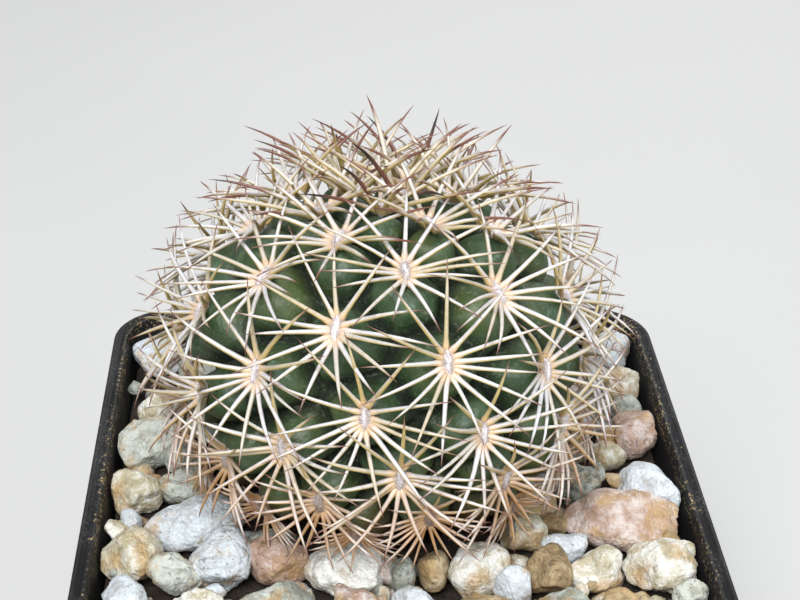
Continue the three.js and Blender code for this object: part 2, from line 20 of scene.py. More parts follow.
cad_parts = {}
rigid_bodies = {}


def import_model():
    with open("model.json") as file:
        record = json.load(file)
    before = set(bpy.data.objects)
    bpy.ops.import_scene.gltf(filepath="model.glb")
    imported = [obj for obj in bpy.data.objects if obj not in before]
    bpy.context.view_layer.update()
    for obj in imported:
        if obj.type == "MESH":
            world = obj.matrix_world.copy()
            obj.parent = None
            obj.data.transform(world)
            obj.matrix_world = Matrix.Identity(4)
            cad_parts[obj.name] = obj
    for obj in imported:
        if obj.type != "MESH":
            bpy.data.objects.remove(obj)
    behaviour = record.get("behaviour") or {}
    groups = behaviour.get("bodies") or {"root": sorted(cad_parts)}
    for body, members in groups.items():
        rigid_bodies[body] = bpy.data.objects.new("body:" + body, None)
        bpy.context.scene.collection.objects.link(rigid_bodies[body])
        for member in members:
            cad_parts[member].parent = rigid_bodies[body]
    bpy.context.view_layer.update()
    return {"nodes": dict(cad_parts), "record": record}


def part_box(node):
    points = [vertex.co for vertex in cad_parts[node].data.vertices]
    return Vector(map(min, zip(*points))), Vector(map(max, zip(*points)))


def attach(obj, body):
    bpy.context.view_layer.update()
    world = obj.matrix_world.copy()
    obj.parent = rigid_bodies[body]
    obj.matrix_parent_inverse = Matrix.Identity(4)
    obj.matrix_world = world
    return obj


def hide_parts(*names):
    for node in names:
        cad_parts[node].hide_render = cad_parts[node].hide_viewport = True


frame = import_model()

MM = 0.001

# %% [markdown]
# ## The camera
#
# The photograph looks down into the pot from in front. The two side edges of the pot run together
# towards a point far above the picture, which gives the pitch, and the known width of the rim gives
# the distance. The camera is set first, because every comparison with the photograph depends on it.

# %% Camera
RIM_WIDTH = 80 * MM
POT_HEIGHT = 75 * MM
CAMERA_PLACE = Vector((-12.1, -184.2, 132.9)) * MM + Vector((0, 0, POT_HEIGHT))
CAMERA_PITCH = math.radians(30.32)
CAMERA_YAW = math.radians(3.78)
CAMERA_ROLL = math.radians(-1.75)
FOCAL_PIXELS = 1700
PICTURE_WIDTH = 800


def aim(pitch, yaw, roll):
    ahead = Vector((math.sin(yaw) * math.cos(pitch), math.cos(yaw) * math.cos(pitch), -math.sin(pitch)))
    right = Vector((math.cos(yaw), -math.sin(yaw), 0))
    down = ahead.cross(right)
    tilted_right = right * math.cos(roll) + down * math.sin(roll)
    tilted_up = right * math.sin(roll) - down * math.cos(roll)
    return Matrix((tilted_right, tilted_up, -ahead)).transposed().to_4x4()


camera_data = bpy.data.cameras.new("camera")
camera_data.lens = FOCAL_PIXELS / PICTURE_WIDTH * camera_data.sensor_width
camera_data.clip_start = 0.01
camera = bpy.data.objects.new("camera", camera_data)
camera.matrix_world = Matrix.Translation(CAMERA_PLACE) @ aim(CAMERA_PITCH, CAMERA_YAW, CAMERA_ROLL)
bpy.context.scene.collection.objects.link(camera)
bpy.context.scene.camera = camera
print("lens:", round(camera_data.lens, 1), "mm")

# %% [markdown]
# ## Small tools
#
# Most pieces are a primitive that is shaped in edit mode. These helpers clear the selection, pick
# vertices by their place, read and write a mesh as one array, and finish a piece.


# %% Helpers for modelling
def start_clean():
    if bpy.context.object and bpy.context.object.mode != "OBJECT":
        bpy.ops.object.mode_set(mode="OBJECT")
    bpy.ops.object.select_all(action="DESELECT")


def pick(test, kind="VERT"):
    """In edit mode, selects only the vertices, edges or faces whose middle passes the test."""
    bpy.ops.mesh.select_mode(type=kind)
    bpy.ops.mesh.select_all(action="DESELECT")
    mesh = bmesh.from_edit_mesh(bpy.context.object.data)
    for item in {"VERT": mesh.verts, "EDGE": mesh.edges, "FACE": mesh.faces}[kind]:
        corners = [item] if kind == "VERT" else item.verts
        middle = sum((corner.co for corner in corners), Vector()) / len(corners)
        if test(middle):
            item.select_set(True)
    bmesh.update_edit_mesh(bpy.context.object.data)


def apply_modifier(piece, kind, **settings):
    modifier = piece.modifiers.new(kind.lower(), kind)
    for name, value in settings.items():
        setattr(modifier, name, value)
    bpy.context.view_layer.objects.active = piece
    bpy.ops.object.modifier_apply(modifier=modifier.name)


def points_of(piece):
    flat = np.empty(len(piece.data.vertices) * 3)
    piece.data.vertices.foreach_get("co", flat)
    return flat.reshape(-1, 3)


def set_points(piece, points):
    piece.data.vertices.foreach_set("co", np.ascontiguousarray(points).ravel())
    piece.data.update()


def faces_of(piece):
    return [tuple(face.vertices) for face in piece.data.polygons]


def new_piece(name, points, faces):
    mesh = bpy.data.meshes.new(name)
    mesh.from_pydata(points, [], faces)
    piece = bpy.data.objects.new(name, mesh)
    bpy.context.scene.collection.objects.link(piece)
    return piece


def set_attribute(piece, name, values):
    layer = piece.data.attributes.new(name, "FLOAT", "POINT")
    layer.data.foreach_set("value", np.ascontiguousarray(values, dtype=np.float32))


def finish_piece(piece, material, nodes=(), angle=180):
    start_clean()
    piece.select_set(True)
    bpy.context.view_layer.objects.active = piece
    if angle < 180:
        bpy.ops.object.shade_smooth_by_angle(angle=math.radians(angle))
    else:
        bpy.ops.object.shade_smooth()
    piece.data.materials.clear()
    piece.data.materials.append(material)
    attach(piece, "root")
    if nodes:
        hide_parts(*nodes)
    print(piece.name, len(piece.data.polygons), "faces")


# %% [markdown]
# ## Building materials from nodes
#
# A material is a small network. One helper adds a node and connects its inputs, so that each
# material below reads as a list of what feeds what.


# %% Helpers for materials
def add_node(tree, kind, settings=None, **inputs):
    node = tree.nodes.new(kind)
    for name, value in (settings or {}).items():
        setattr(node, name, value)
    for name, value in inputs.items():
        socket = node.inputs[int(name[1:])] if name[1:].isdigit() else node.inputs[name.replace("_", " ")]
        if isinstance(value, bpy.types.NodeSocket):
            tree.links.new(value, socket)
        else:
            socket.default_value = value
    return node


def ramp(tree, factor, stops):
    node = add_node(tree, "ShaderNodeValToRGB", Fac=factor)
    elements = node.color_ramp.elements
    while len(elements) < len(stops):
        elements.new(0.5)
    for element, (place, colour) in zip(elements, stops):
        element.position = place
        element.color = (*colour, 1)
    return node.outputs["Color"]


def level(tree, value, low, high, to_low=0.0, to_high=1.0):
    node = add_node(tree, "ShaderNodeMapRange", {"interpolation_type": "SMOOTHSTEP"}, Value=value)
    for name, number in zip(("From Min", "From Max", "To Min", "To Max"), (low, high, to_low, to_high)):
        node.inputs[name].default_value = number
    return node.outputs["Result"]


def blend(tree, share, a, b, mode="MIX"):
    settings = {"data_type": "RGBA", "blend_type": mode}
    node = add_node(tree, "ShaderNodeMix", settings, _0=share, _6=a, _7=b)
    return node.outputs[2]


def math_node(tree, operation, a, b=0.0):
    return add_node(tree, "ShaderNodeMath", {"operation": operation}, _0=a, _1=b).outputs[0]


def times(tree, a, b):
    return math_node(tree, "MULTIPLY", a, b)


def plus(tree, a, b):
    return math_node(tree, "ADD", a, b)


def height_of(tree, place):
    """Height above the surface that the pot stands on, in metres."""
    return add_node(tree, "ShaderNodeSeparateXYZ", Vector=place).outputs["Z"]


def noise_node(tree, place, scale, detail=4.0, roughness=0.55):
    looks = {"Scale": scale, "Detail": detail, "Roughness": roughness}
    return add_node(tree, "ShaderNodeTexNoise", Vector=place, **looks).outputs["Fac"]


def attribute(tree, name):
    return add_node(tree, "ShaderNodeAttribute", {"attribute_name": name}).outputs["Fac"]


def new_material(name):
    material = bpy.data.materials.new(name)
    material.use_nodes = True
    tree = material.node_tree
    tree.nodes.clear()
    shader = tree.nodes.new("ShaderNodeBsdfPrincipled")
    output = tree.nodes.new("ShaderNodeOutputMaterial")
    tree.links.new(shader.outputs[0], output.inputs[0])
    place = tree.nodes.new("ShaderNodeTexCoord").outputs["Object"]
    return material, tree, shader, place


def set_bump(tree, shader, height, strength, distance):
    bump = add_node(tree, "ShaderNodeBump", Height=height, Strength=strength, Distance=distance)
    tree.links.new(bump.outputs[0], shader.inputs["Normal"])


def rgba(red, green, blue):
    return (red, green, blue, 1)


# %% [markdown]
# ## Two shared surface effects
#
# *Grains* are the small crystals and pits of stone and soil: a coarse and a fine pattern of cells
# and a height for the bump. *Specks* are scattered pale dots, which the stem has as tiny pores and
# the pot as dust. Both are node groups, so that each material can use them at its own scale.


# %% Node group for grains
def new_group(name, inputs, outputs):
    group = bpy.data.node_groups.new(name, "ShaderNodeTree")
    for label, kind, default in inputs:
        socket = group.interface.new_socket(label, in_out="INPUT", socket_type=kind)
        if default is not None:
            socket.default_value = default
    for label in outputs:
        group.interface.new_socket(label, in_out="OUTPUT", socket_type="NodeSocketFloat")
    return group, group.nodes.new("NodeGroupInput"), group.nodes.new("NodeGroupOutput")


def make_grains():
    inputs = [("Place", "NodeSocketVector", None), ("Scale", "NodeSocketFloat", 1500.0)]
    group, given, result = new_group("grains", inputs, ["Cloud", "Crystal", "Height"])
    place = given.outputs["Place"]
    scale = given.outputs["Scale"]
    cloud = noise_node(group, place, times(group, scale, 0.25), 6.0, 0.6)
    fine = noise_node(group, place, times(group, scale, 2.0), 5.0, 0.65)
    cell = add_node(group, "ShaderNodeTexVoronoi", Vector=place, Scale=scale)
    crystal = level(group, cell.outputs["Distance"], 0.1, 0.75)
    rough = times(group, fine, 0.6)
    height = plus(group, times(group, cloud, 0.9), rough)
    height = math_node(group, "SUBTRACT", height, times(group, crystal, 0.25))
    group.links.new(cloud, result.inputs["Cloud"])
    tint = add_node(group, "ShaderNodeSeparateColor", Color=cell.outputs["Color"])
    group.links.new(tint.outputs[0], result.inputs["Crystal"])
    group.links.new(height, result.inputs["Height"])
    return group


grains = make_grains()


# %% Node group for specks
def make_specks():
    inputs = [
        ("Place", "NodeSocketVector", None),
        ("Scale", "NodeSocketFloat", 2000.0),
        ("Size", "NodeSocketFloat", 0.18),
        ("Share", "NodeSocketFloat", 0.5),
    ]
    group, given, result = new_group("specks", inputs, ["Mask"])
    place, scale = given.outputs["Place"], given.outputs["Scale"]
    cell = add_node(group, "ShaderNodeTexVoronoi", Vector=place, Scale=scale)
    inside = math_node(group, "LESS_THAN", cell.outputs["Distance"], given.outputs["Size"])
    tint = add_node(group, "ShaderNodeSeparateColor", Color=cell.outputs["Color"])
    chosen = math_node(group, "LESS_THAN", tint.outputs[0], given.outputs["Share"])
    group.links.new(times(group, inside, chosen), result.inputs["Mask"])
    return group


specks = make_specks()


def place_group(tree, group, **inputs):
    return add_node(tree, "ShaderNodeGroup", {"node_tree": group}, **inputs)


print("groups:", grains.name, specks.name)

# %% [markdown]
# ## Where the areoles are
#
# The areoles of a cactus sit on one spiral from the crown down, each a fixed angle on from the last.
# The turn here is -137.774 degrees, close to the golden angle, and was measured on the photograph.
# The body is a squarish spheroid that leans back a little. These are the same few numbers that the
# solids were made from, so every fan of spines sits on its own tubercle.

# %% The plant's own frame
STEM_CENTRE = np.array([-1.8, 3.0, 95.0])
LEAN_BACK = math.radians(9.8)
LEAN_SIDE = math.radians(1.1)
BODY_DROP = 5.0
BODY_RADIUS = 25.5
BODY_RISE = 22.0
BODY_FALL = 25.5
CROWN_SQUARENESS = 2.3
FOOT_SQUARENESS = 2.0
SOIL_TOP = 69.2
STONE_TOP = 75.2
GAP = 0.3

lean = np.array(Matrix.Rotation(-LEAN_SIDE, 3, "Y") @ Matrix.Rotation(-LEAN_BACK, 3, "X"))
body_middle = np.array([0, 0, -BODY_DROP])


def to_world(points):
    """Plant millimetres to metres in the frame of the whole object."""
    return (points @ lean.T + STEM_CENTRE) * MM


def unit(vectors):
    return vectors / np.linalg.norm(vectors, axis=-1, keepdims=True)


def envelope(direction):
    """Distance from the body's middle to the surface through the tubercle tips."""
    side = np.hypot(direction[:, 0], direction[:, 1]) / BODY_RADIUS
    height = np.where(direction[:, 2] > 0, BODY_RISE, BODY_FALL)
    up = np.abs(direction[:, 2]) / height
    k = np.where(direction[:, 2] > 0, CROWN_SQUARENESS, FOOT_SQUARENESS)
    return (side**k + up**k) ** (-1 / k)


def body_normal(direction):
    p = direction * envelope(direction)[:, None]
    side = np.hypot(p[:, 0], p[:, 1])
    height = np.where(p[:, 2] > 0, BODY_RISE, BODY_FALL)
    k = np.where(p[:, 2] > 0, CROWN_SQUARENESS, FOOT_SQUARENESS) - 1
    outward = (side / BODY_RADIUS) ** k / BODY_RADIUS / np.maximum(side, 1e-6)
    upward = np.sign(p[:, 2]) * (np.abs(p[:, 2]) / height) ** k / height
    return unit(np.stack([p[:, 0] * outward, p[:, 1] * outward, upward], 1))


# %% The spiral
FIRST_AREOLE = -4
LAST_AREOLE = 78
SPIRAL_START = 129.4
SPIRAL_TURN = -137.774
SPIRAL_STOPS = [-5, 0, 8, 20, 35, 55, 75]
POLAR_STOPS = [3, 18.7, 36, 61, 85.7, 110.8, 130]
LOWEST_AREOLE = 79.9


def along_stops(at):
    """A smooth curve through the measured angles from the crown."""
    x, y = SPIRAL_STOPS, POLAR_STOPS
    last = len(x) - 1
    around = [(max(i - 1, 0), min(i + 1, last)) for i in range(last + 1)]
    slopes = [(y[after] - y[before]) / (x[after] - x[before]) for before, after in around]
    i = min(last - 1, max(k for k in range(last) if at >= x[k]))
    h = x[i + 1] - x[i]
    t = (at - x[i]) / h
    ends = y[i] * (1 + 2 * t) * (1 - t) ** 2 + y[i + 1] * (3 - 2 * t) * t * t
    return ends + h * (slopes[i] * t * (1 - t) ** 2 - slopes[i + 1] * t * t * (1 - t))


numbers = np.arange(FIRST_AREOLE, LAST_AREOLE + 1)
polar = np.radians([along_stops(n) for n in numbers])
turn = np.radians(SPIRAL_START + numbers * SPIRAL_TURN)
directions = np.stack([np.sin(polar) * np.cos(turn), np.sin(polar) * np.sin(turn), np.cos(polar)], 1)
tips = directions * envelope(directions)[:, None] + body_middle
kept = to_world(tips)[:, 2] > LOWEST_AREOLE * MM
polar, directions, tips = polar[kept], directions[kept], tips[kept]
normals = body_normal(directions)
sides = unit(np.stack([-directions[:, 1], directions[:, 0], np.zeros(len(directions))], 1))
downs = np.cross(sides, normals)
print("areoles:", len(tips))

# %% [markdown]
# ## The stem
#
# Each tubercle is a plump dome on a diamond-shaped base, and where two meet there is a sharp dark
# crease. A sphere of small triangles is pushed to that relief: a point halfway between its two
# nearest areoles lies in a crease, and a point at an areole lies at a tip. Modelling 64 domes one by
# one would leave seams between them, so the whole skin is one formula.

# %% Stem
TUBERCLE_HEIGHT = 5.2
TUBERCLE_SPACING = 10.5
DOME_DROP = 1.3
DOME_ROUND = 0.22
CREASE_POWER = 3.6
WOBBLE = 0.35
ROOT_RADIUS = 9.0
ROOT_DEPTH = 5.0
ROOT_MARGIN = 0.4


def crease_share(points, domes):
    """0 at the middle of a dome, 1 in the crease between two, with the spacing of the two."""
    gap = np.linalg.norm(points[:, None, :] - domes[None, :, :], axis=2)
    two = np.partition(gap, 1, axis=1)[:, :2]
    spacing = two.sum(1)
    return np.minimum(1, 2 * two[:, 0] / spacing), spacing


def make_stem():
    start_clean()
    bpy.ops.mesh.primitive_ico_sphere_add(subdivisions=7, radius=1)
    stem = bpy.context.object
    stem.name = "stem_body"
    direction = unit(points_of(stem))
    surface = direction * envelope(direction)[:, None] + body_middle
    share, spacing = crease_share(surface, tips + DOME_DROP * downs)
    height = TUBERCLE_HEIGHT * np.minimum(1, spacing / TUBERCLE_SPACING)
    depth = height * (DOME_ROUND * share**2 + (1 - DOME_ROUND) * share**CREASE_POWER)
    wobble = np.array([noise.noise(Vector(p) * 0.28) + 0.4 * noise.noise(Vector(p) * 0.8) for p in surface])
    inward = depth - WOBBLE * wobble
    points = to_world(surface - direction * inward[:, None])
    foot = to_world(np.array([[0, 0, -BODY_DROP - BODY_FALL]]))[0]
    lowest = (SOIL_TOP + GAP) * MM
    points[:, 2] = np.maximum(points[:, 2], lowest)
    near = np.hypot(points[:, 0] - foot[0], points[:, 1] - foot[1]) < ROOT_RADIUS * MM
    points[near & (points[:, 2] < lowest + ROOT_MARGIN * MM), 2] = (SOIL_TOP - ROOT_DEPTH) * MM
    set_points(stem, points)
    set_attribute(stem, "crease", share)
    return stem


stem = make_stem()

# %% [markdown]
# ## The skin of the stem
#
# The skin is dark green with a bluish grey bloom on the domes, partly a real bloom and partly a
# painted sheen, and the creases are painted darker as painted shade. It is yellower low down and
# brown and corky at the base. Tiny pale pores and a thin grey scurf cover it. The crease value that
# shaped the mesh is kept as an attribute, so the colour follows the relief exactly.


# %% Material of the stem
def make_skin():
    material, tree, shader, place = new_material("stem_skin")
    crease = attribute(tree, "crease")
    height = height_of(tree, place)
    cloud = noise_node(tree, place, 160.0, 5.0, 0.6)
    green = ramp(
        tree,
        cloud,
        [(0.3, (0.02, 0.042, 0.013)), (0.5, (0.038, 0.074, 0.028)), (0.72, (0.08, 0.13, 0.066))],
    )
    bloom_cloud = level(tree, noise_node(tree, place, 320.0, 6.0, 0.7), 0.42, 0.68)
    # Partly a real bloom and partly a painted sheen: the domes are painted lighter bluish grey away from the
    # creases
    bloom_and_painted_sheen = times(tree, bloom_cloud, level(tree, crease, 0.75, 0.2, 0.0, 0.5))
    green = blend(tree, bloom_and_painted_sheen, green, rgba(0.125, 0.195, 0.15))
    olive = level(tree, noise_node(tree, place, 110.0, 3.0, 0.5), 0.5, 0.68, 0.0, 0.65)
    green = blend(tree, olive, green, rgba(0.085, 0.115, 0.03))
    low = level(tree, plus(tree, height, times(tree, cloud, 0.012)), 0.1, 0.084)
    green = blend(tree, times(tree, low, 0.55), green, rgba(0.085, 0.1, 0.02))
    ragged_height = plus(tree, height, times(tree, cloud, 0.01))
    cork = level(tree, ragged_height, 0.0885, 0.0815)
    green = blend(tree, cork, green, rgba(0.09, 0.042, 0.016))
    # Painted shade: the creases between the domes are painted nearly black
    dark = level(tree, crease, 0.7, 0.96, 0.0, 0.9)
    green = blend(tree, dark, green, rgba(0.006, 0.01, 0.004))
    pores = place_group(tree, specks, Place=place, Scale=2600.0, Size=0.24, Share=0.55).outputs["Mask"]
    colour = blend(tree, times(tree, pores, 0.3), green, rgba(0.2, 0.26, 0.19))
    flakes = level(tree, noise_node(tree, place, 1100.0, 5.0, 0.7), 0.53, 0.64)
    scurf = times(tree, flakes, bloom_cloud)
    colour = blend(tree, times(tree, scurf, 0.45), colour, rgba(0.3, 0.34, 0.26))
    tree.links.new(colour, shader.inputs["Base Color"])
    matt = level(tree, bloom_cloud, 0.0, 1.0, 0.42, 0.62)
    rough = math_node(tree, "MAXIMUM", matt, level(tree, crease, 0.7, 0.95))
    tree.links.new(rough, shader.inputs["Roughness"])
    fine = noise_node(tree, place, 1800.0, 4.0, 0.6)
    relief = plus(tree, times(tree, cloud, 1.5), times(tree, fine, 0.35))
    relief = plus(tree, relief, times(tree, pores, 0.15))
    set_bump(tree, shader, relief, 0.5, 0.0006)
    return material


finish_piece(stem, make_skin(), ["stem"])

# %% [markdown]
# ## One spine
#
# A spine is a slim horn: a swollen, peach-coloured root, an ivory shaft and a fine dark tip.
# It is modelled once, standing upright and one unit long, as a six-sided column whose rings are
# scaled to the outline. Every spine of the plant is a copy that is bent along its own line.

# %% Spine model
SPINE_OUTLINE = [
    (0.0, 1.1),
    (0.03, 1.6),
    (0.07, 1.48),
    (0.13, 1.12),
    (0.3, 0.97),
    (0.5, 0.86),
    (0.68, 0.67),
    (0.82, 0.43),
    (0.93, 0.22),
    (1.0, 0.03),
]


def make_spine_model():
    start_clean()
    bpy.ops.mesh.primitive_cylinder_add(
        vertices=6, radius=1, depth=1, end_fill_type="NOTHING", location=(0, 0, 0.5)
    )
    model = bpy.context.object
    bpy.ops.object.transform_apply(location=True)
    bpy.ops.object.mode_set(mode="EDIT")
    for height, _ in SPINE_OUTLINE[1:-1]:
        bpy.ops.mesh.select_all(action="SELECT")
        bpy.ops.mesh.bisect(plane_co=(0, 0, height), plane_no=(0, 0, 1))
    for height, width in SPINE_OUTLINE:
        pick(lambda p, z=height: abs(p.z - z) < 1e-4)
        bpy.ops.transform.resize(value=(width, width, 1), center_override=(0, 0, height))
    bpy.ops.object.mode_set(mode="OBJECT")
    return model


spine_model = make_spine_model()
spine_points = points_of(spine_model)
spine_faces = np.array(faces_of(spine_model))
bpy.data.objects.remove(spine_model)
print("one spine:", len(spine_points), "points", len(spine_faces), "faces")

# %% [markdown]
# ## The fans
#
# Each areole carries about fifteen radial spines. They leave the long sides of the pad like the
# teeth of two combs, with a few up and down, and bend back gently towards the body. On the crown
# they are fewer and longer, stand up and cross one another. Low on the plant, where the areoles are
# old, they are shorter and more crowded.

# %% Lines of the spines
FAN_COUNT = 15
FEWER_ON_CROWN = 8
MORE_ON_OLD = 6
CROWN_ANGLES = (6, 50)
OLD_HEIGHTS = (80, 90)
SPINE_LENGTH = 12.8
SPINE_RADIUS = 0.285
ROOT_ALONG = 1.45
ROOT_ACROSS = 0.48
ROOT_LIFT = 0.5
FLATTEST = 21
STEEPEST = 40
CROWN_RISE = 28
LEAST_BEND = 0.12
random = np.random.default_rng(7)


def smooth(value, low, high):
    t = np.clip((value - low) / (high - low), 0, 1)
    return t * t * (3 - 2 * t)


def spine_lines():
    """Of every spine: root, direction along the surface, normal, length, rise in degrees, bend,
    and how much it belongs to the crown and to the old foot, each from 0 to 1."""
    rows = []
    for tip, normal, side, down, angle in zip(tips, normals, sides, downs, polar):
        crown = float(1 - smooth(math.degrees(angle), *CROWN_ANGLES))
        age = float(1 - smooth(to_world(tip)[2] / MM, *OLD_HEIGHTS))
        count = FAN_COUNT - int(FEWER_ON_CROWN * crown) + int(MORE_ON_OLD * age)
        for k in range(count):
            around = 2 * math.pi * (k + 0.5 + 0.22 * random.uniform(-1, 1)) / count
            # Closer together on the two long sides, and closer below than above
            around += 0.22 * math.sin(2 * around) - 0.2 * math.sin(around)
            along = down * math.cos(around) + side * math.sin(around)
            root = tip + down * ROOT_ALONG * math.cos(around) + side * ROOT_ACROSS * math.sin(around)
            root = root + normal * ROOT_LIFT
            rise = random.uniform(FLATTEST, STEEPEST) + CROWN_RISE * crown * random.uniform() ** 1.4
            bend = LEAST_BEND + 0.13 * (rise - 20) / 18 * (1 - 0.5 * crown) + random.uniform(-0.04, 0.05)
            length = SPINE_LENGTH * random.uniform(0.9, 1.1) * (1 + 0.25 * crown) * (1 - 0.5 * age)
            if abs(math.sin(around)) < 0.35:
                length *= 0.88
            rows.append((root, along, normal, length, rise, bend, crown, age))
    return rows


def columns(rows):
    return [np.array([row[i] for row in rows]) for i in range(8)]


def tip_heights(rows):
    roots, alongs, ups, lengths, rises, bends = columns(rows)[:6]
    c, s = np.cos(np.radians(rises)), np.sin(np.radians(rises))
    ends = roots + lengths[:, None] * (c[:, None] * alongs + (s - bends)[:, None] * ups)
    return to_world(ends)[:, 2] / MM


LIFT_ROUNDS = 3
LIFT_STEP = 4
LIFT_BELOW = STONE_TOP - 0.8
DROP_BELOW = STONE_TOP - 1.2


def lift_off_gravel(rows):
    """Lifts the spines that point into the gravel by up to 12 degrees, and leaves out the rest."""
    for _ in range(LIFT_ROUNDS):
        low = tip_heights(rows) < LIFT_BELOW
        rows = [(*row[:4], row[4] + LIFT_STEP * bool(is_low), *row[5:]) for row, is_low in zip(rows, low)]
    return [row for row, height in zip(rows, tip_heights(rows)) if height > DROP_BELOW]


all_rows = spine_lines()
rows = lift_off_gravel(all_rows)
roots, alongs, ups, lengths, rises, bends, crowns, ages = columns(rows)
print("spines:", len(rows), "left out in the gravel:", len(all_rows) - len(rows))


# %% Spines
def make_spines():
    t = spine_points[:, 2][None, :, None]
    c = np.cos(np.radians(rises))[:, None, None]
    s = np.sin(np.radians(rises))[:, None, None]
    long = lengths[:, None, None]
    bow = bends[:, None, None]
    sway = random.uniform(-0.08, 0.08, len(rows))[:, None, None]
    across = np.cross(ups, alongs)[:, None, :]
    lift = s * t - bow * t * t
    reach = c * t * alongs[:, None, :] + lift * ups[:, None, :] + sway * t * t * across
    line = roots[:, None, :] + long * reach
    tangent = unit(c * alongs[:, None, :] + (s - 2 * bow * t) * ups[:, None, :])
    other = np.cross(tangent, np.broadcast_to(across, tangent.shape))
    radial = spine_points[None, :, 0:1] * across + spine_points[None, :, 1:2] * other
    stoutness = random.uniform(0.82, 1.1, len(rows)) * (1 - 0.3 * ages + 0.1 * crowns)
    points = line + SPINE_RADIUS * stoutness[:, None, None] * radial
    offset = np.arange(len(rows))[:, None, None] * len(spine_points)
    faces = (spine_faces[None] + offset).reshape(-1, 4)
    piece = new_piece("spine_fans", to_world(points.reshape(-1, 3)), faces.tolist())
    set_attribute(piece, "along", np.broadcast_to(t[..., 0], (len(rows), len(spine_points))).ravel())
    # How much each point faces down; the horn material paints shade and a golden glow on that side
    set_attribute(piece, "under", -(unit(radial.reshape(-1, 3)) @ lean.T)[:, 2])
    set_attribute(piece, "crown", np.repeat(crowns, len(spine_points)))
    set_attribute(piece, "tone", np.repeat(random.uniform(0, 1, len(rows)), len(spine_points)))
    return piece


spines = make_spines()

# %% [markdown]
# ## The horn of the spines
#
# The colour runs along each spine, so it is read from an attribute: peach at the root, ivory for
# most of the length, then red-brown to nearly black at the tip. The dark part is longer on the
# crown and varies from spine to spine. The side of each spine that faces down is painted golden:
# painted shade, with a painted glow of light through the horn. The old spines at the foot of the
# plant are painted brown towards their roots, a painted shade deep among them.


# %% Material of the spines
def make_horn():
    material, tree, shader, place = new_material("spine_horn")
    along = attribute(tree, "along")
    crown = attribute(tree, "crown")
    tone = attribute(tree, "tone")
    height = height_of(tree, place)
    shaft = ramp(
        tree,
        tone,
        [(0.0, (0.5, 0.43, 0.32)), (0.3, (0.57, 0.55, 0.54)), (1.0, (0.62, 0.61, 0.65))],
    )
    low = level(tree, height, 0.093, 0.08)
    shaft = blend(tree, times(tree, crown, 0.4), shaft, rgba(0.58, 0.46, 0.27))
    shaft = blend(tree, times(tree, low, 0.4), shaft, rgba(0.74, 0.64, 0.58))
    # Painted shade: the side of each spine that faces down is painted golden, with a painted glow of light
    # through the horn
    shade = blend(tree, low, rgba(0.5, 0.37, 0.12), rgba(0.5, 0.26, 0.07))
    shaft = blend(tree, level(tree, attribute(tree, "under"), -0.6, 0.25, 0.0, 0.95), shaft, shade)
    # Painted shade: low on the plant the spines are painted brown towards their roots, for the shade deep
    # among them
    painted_root_shade = times(tree, low, level(tree, along, 0.85, 0.2, 0.0, 0.8))
    shaft = blend(tree, painted_root_shade, shaft, rgba(0.44, 0.22, 0.07))
    root = level(tree, along, 0.16, 0.03)
    shaft = blend(tree, times(tree, root, 0.65), shaft, rgba(0.72, 0.48, 0.27))
    rare = level(tree, tone, 0.6, 0.95)
    shift = times(tree, times(tree, crown, rare), 0.6)
    shift = plus(tree, shift, times(tree, crown, 0.12))
    toward_tip = plus(tree, along, shift)
    brown = level(tree, toward_tip, 0.7, 0.95)
    colour = blend(tree, brown, shaft, rgba(0.18, 0.07, 0.045))
    black = level(tree, toward_tip, 1.0, 1.4)
    colour = blend(tree, black, colour, rgba(0.022, 0.013, 0.013))
    streak = noise_node(tree, place, 900.0, 3.0, 0.6)
    faint = level(tree, streak, 0.45, 0.75, 0.0, 0.25)
    colour = blend(tree, faint, colour, rgba(0.5, 0.3, 0.14), "MULTIPLY")
    tree.links.new(colour, shader.inputs["Base Color"])
    shader.inputs["Roughness"].default_value = 0.38
    set_bump(tree, shader, streak, 0.25, 0.0002)
    return material


finish_piece(spines, make_horn(), ["spines"])

# %% [markdown]
# ## The wool of the areoles
#
# The areole is a narrow oval pad of short felted wool, white with a breath of lilac, and brown on
# the oldest areoles at the foot. A dense little cushion carries it, and over it lie fine curved
# fibres in all directions, which break its edge.

# %% Wool cushions
PAD_HALF_LENGTH = 1.7
PAD_HALF_WIDTH = 0.5
PAD_HALF_HEIGHT = 0.85
PAD_LIFT = 0.45


def make_cushion_model():
    start_clean()
    bpy.ops.mesh.primitive_uv_sphere_add(segments=18, ring_count=12, radius=1)
    model = bpy.context.object
    bpy.ops.object.mode_set(mode="EDIT")
    pick(lambda p: p.z < -0.2)
    bpy.ops.transform.resize(value=(0.85, 0.85, 0.8), center_override=(0, 0, -0.2))
    pick(lambda p: abs(p.z) < 0.3)
    bpy.ops.transform.resize(value=(1.06, 1.06, 1), center_override=(0, 0, 0))
    bpy.ops.object.mode_set(mode="OBJECT")
    return model


cushion = make_cushion_model()
cushion_points = points_of(cushion)
cushion_faces = faces_of(cushion)
bpy.data.objects.remove(cushion)


def on_areole(i, local):
    """Points given along the length, the width and the height of areole i."""
    lift = PAD_LIFT + local[:, 2:3]
    return tips[i] + local[:, 0:1] * downs[i] + local[:, 1:2] * sides[i] + lift * normals[i]


def make_cushions():
    points, faces = [], []
    for i in range(len(tips)):
        size = np.array([PAD_HALF_LENGTH, PAD_HALF_WIDTH, PAD_HALF_HEIGHT]) * random.uniform(0.88, 1.08)
        shift = Vector((i * 7.0, 0, 0))
        lump = np.array([1 + 0.3 * noise.noise(Vector(p) * 2.2 + shift) for p in cushion_points])
        offset = i * len(cushion_points)
        points.append(on_areole(i, cushion_points * size * lump[:, None]))
        faces.extend(tuple(v + offset for v in face) for face in cushion_faces)
    return new_piece("areole_cushions", to_world(np.concatenate(points)), faces)


cushions = make_cushions()

# %% Wool fibres
FIBRES = 110
FIBRE_RADIUS = 0.035
FIBRE_STEPS = 4


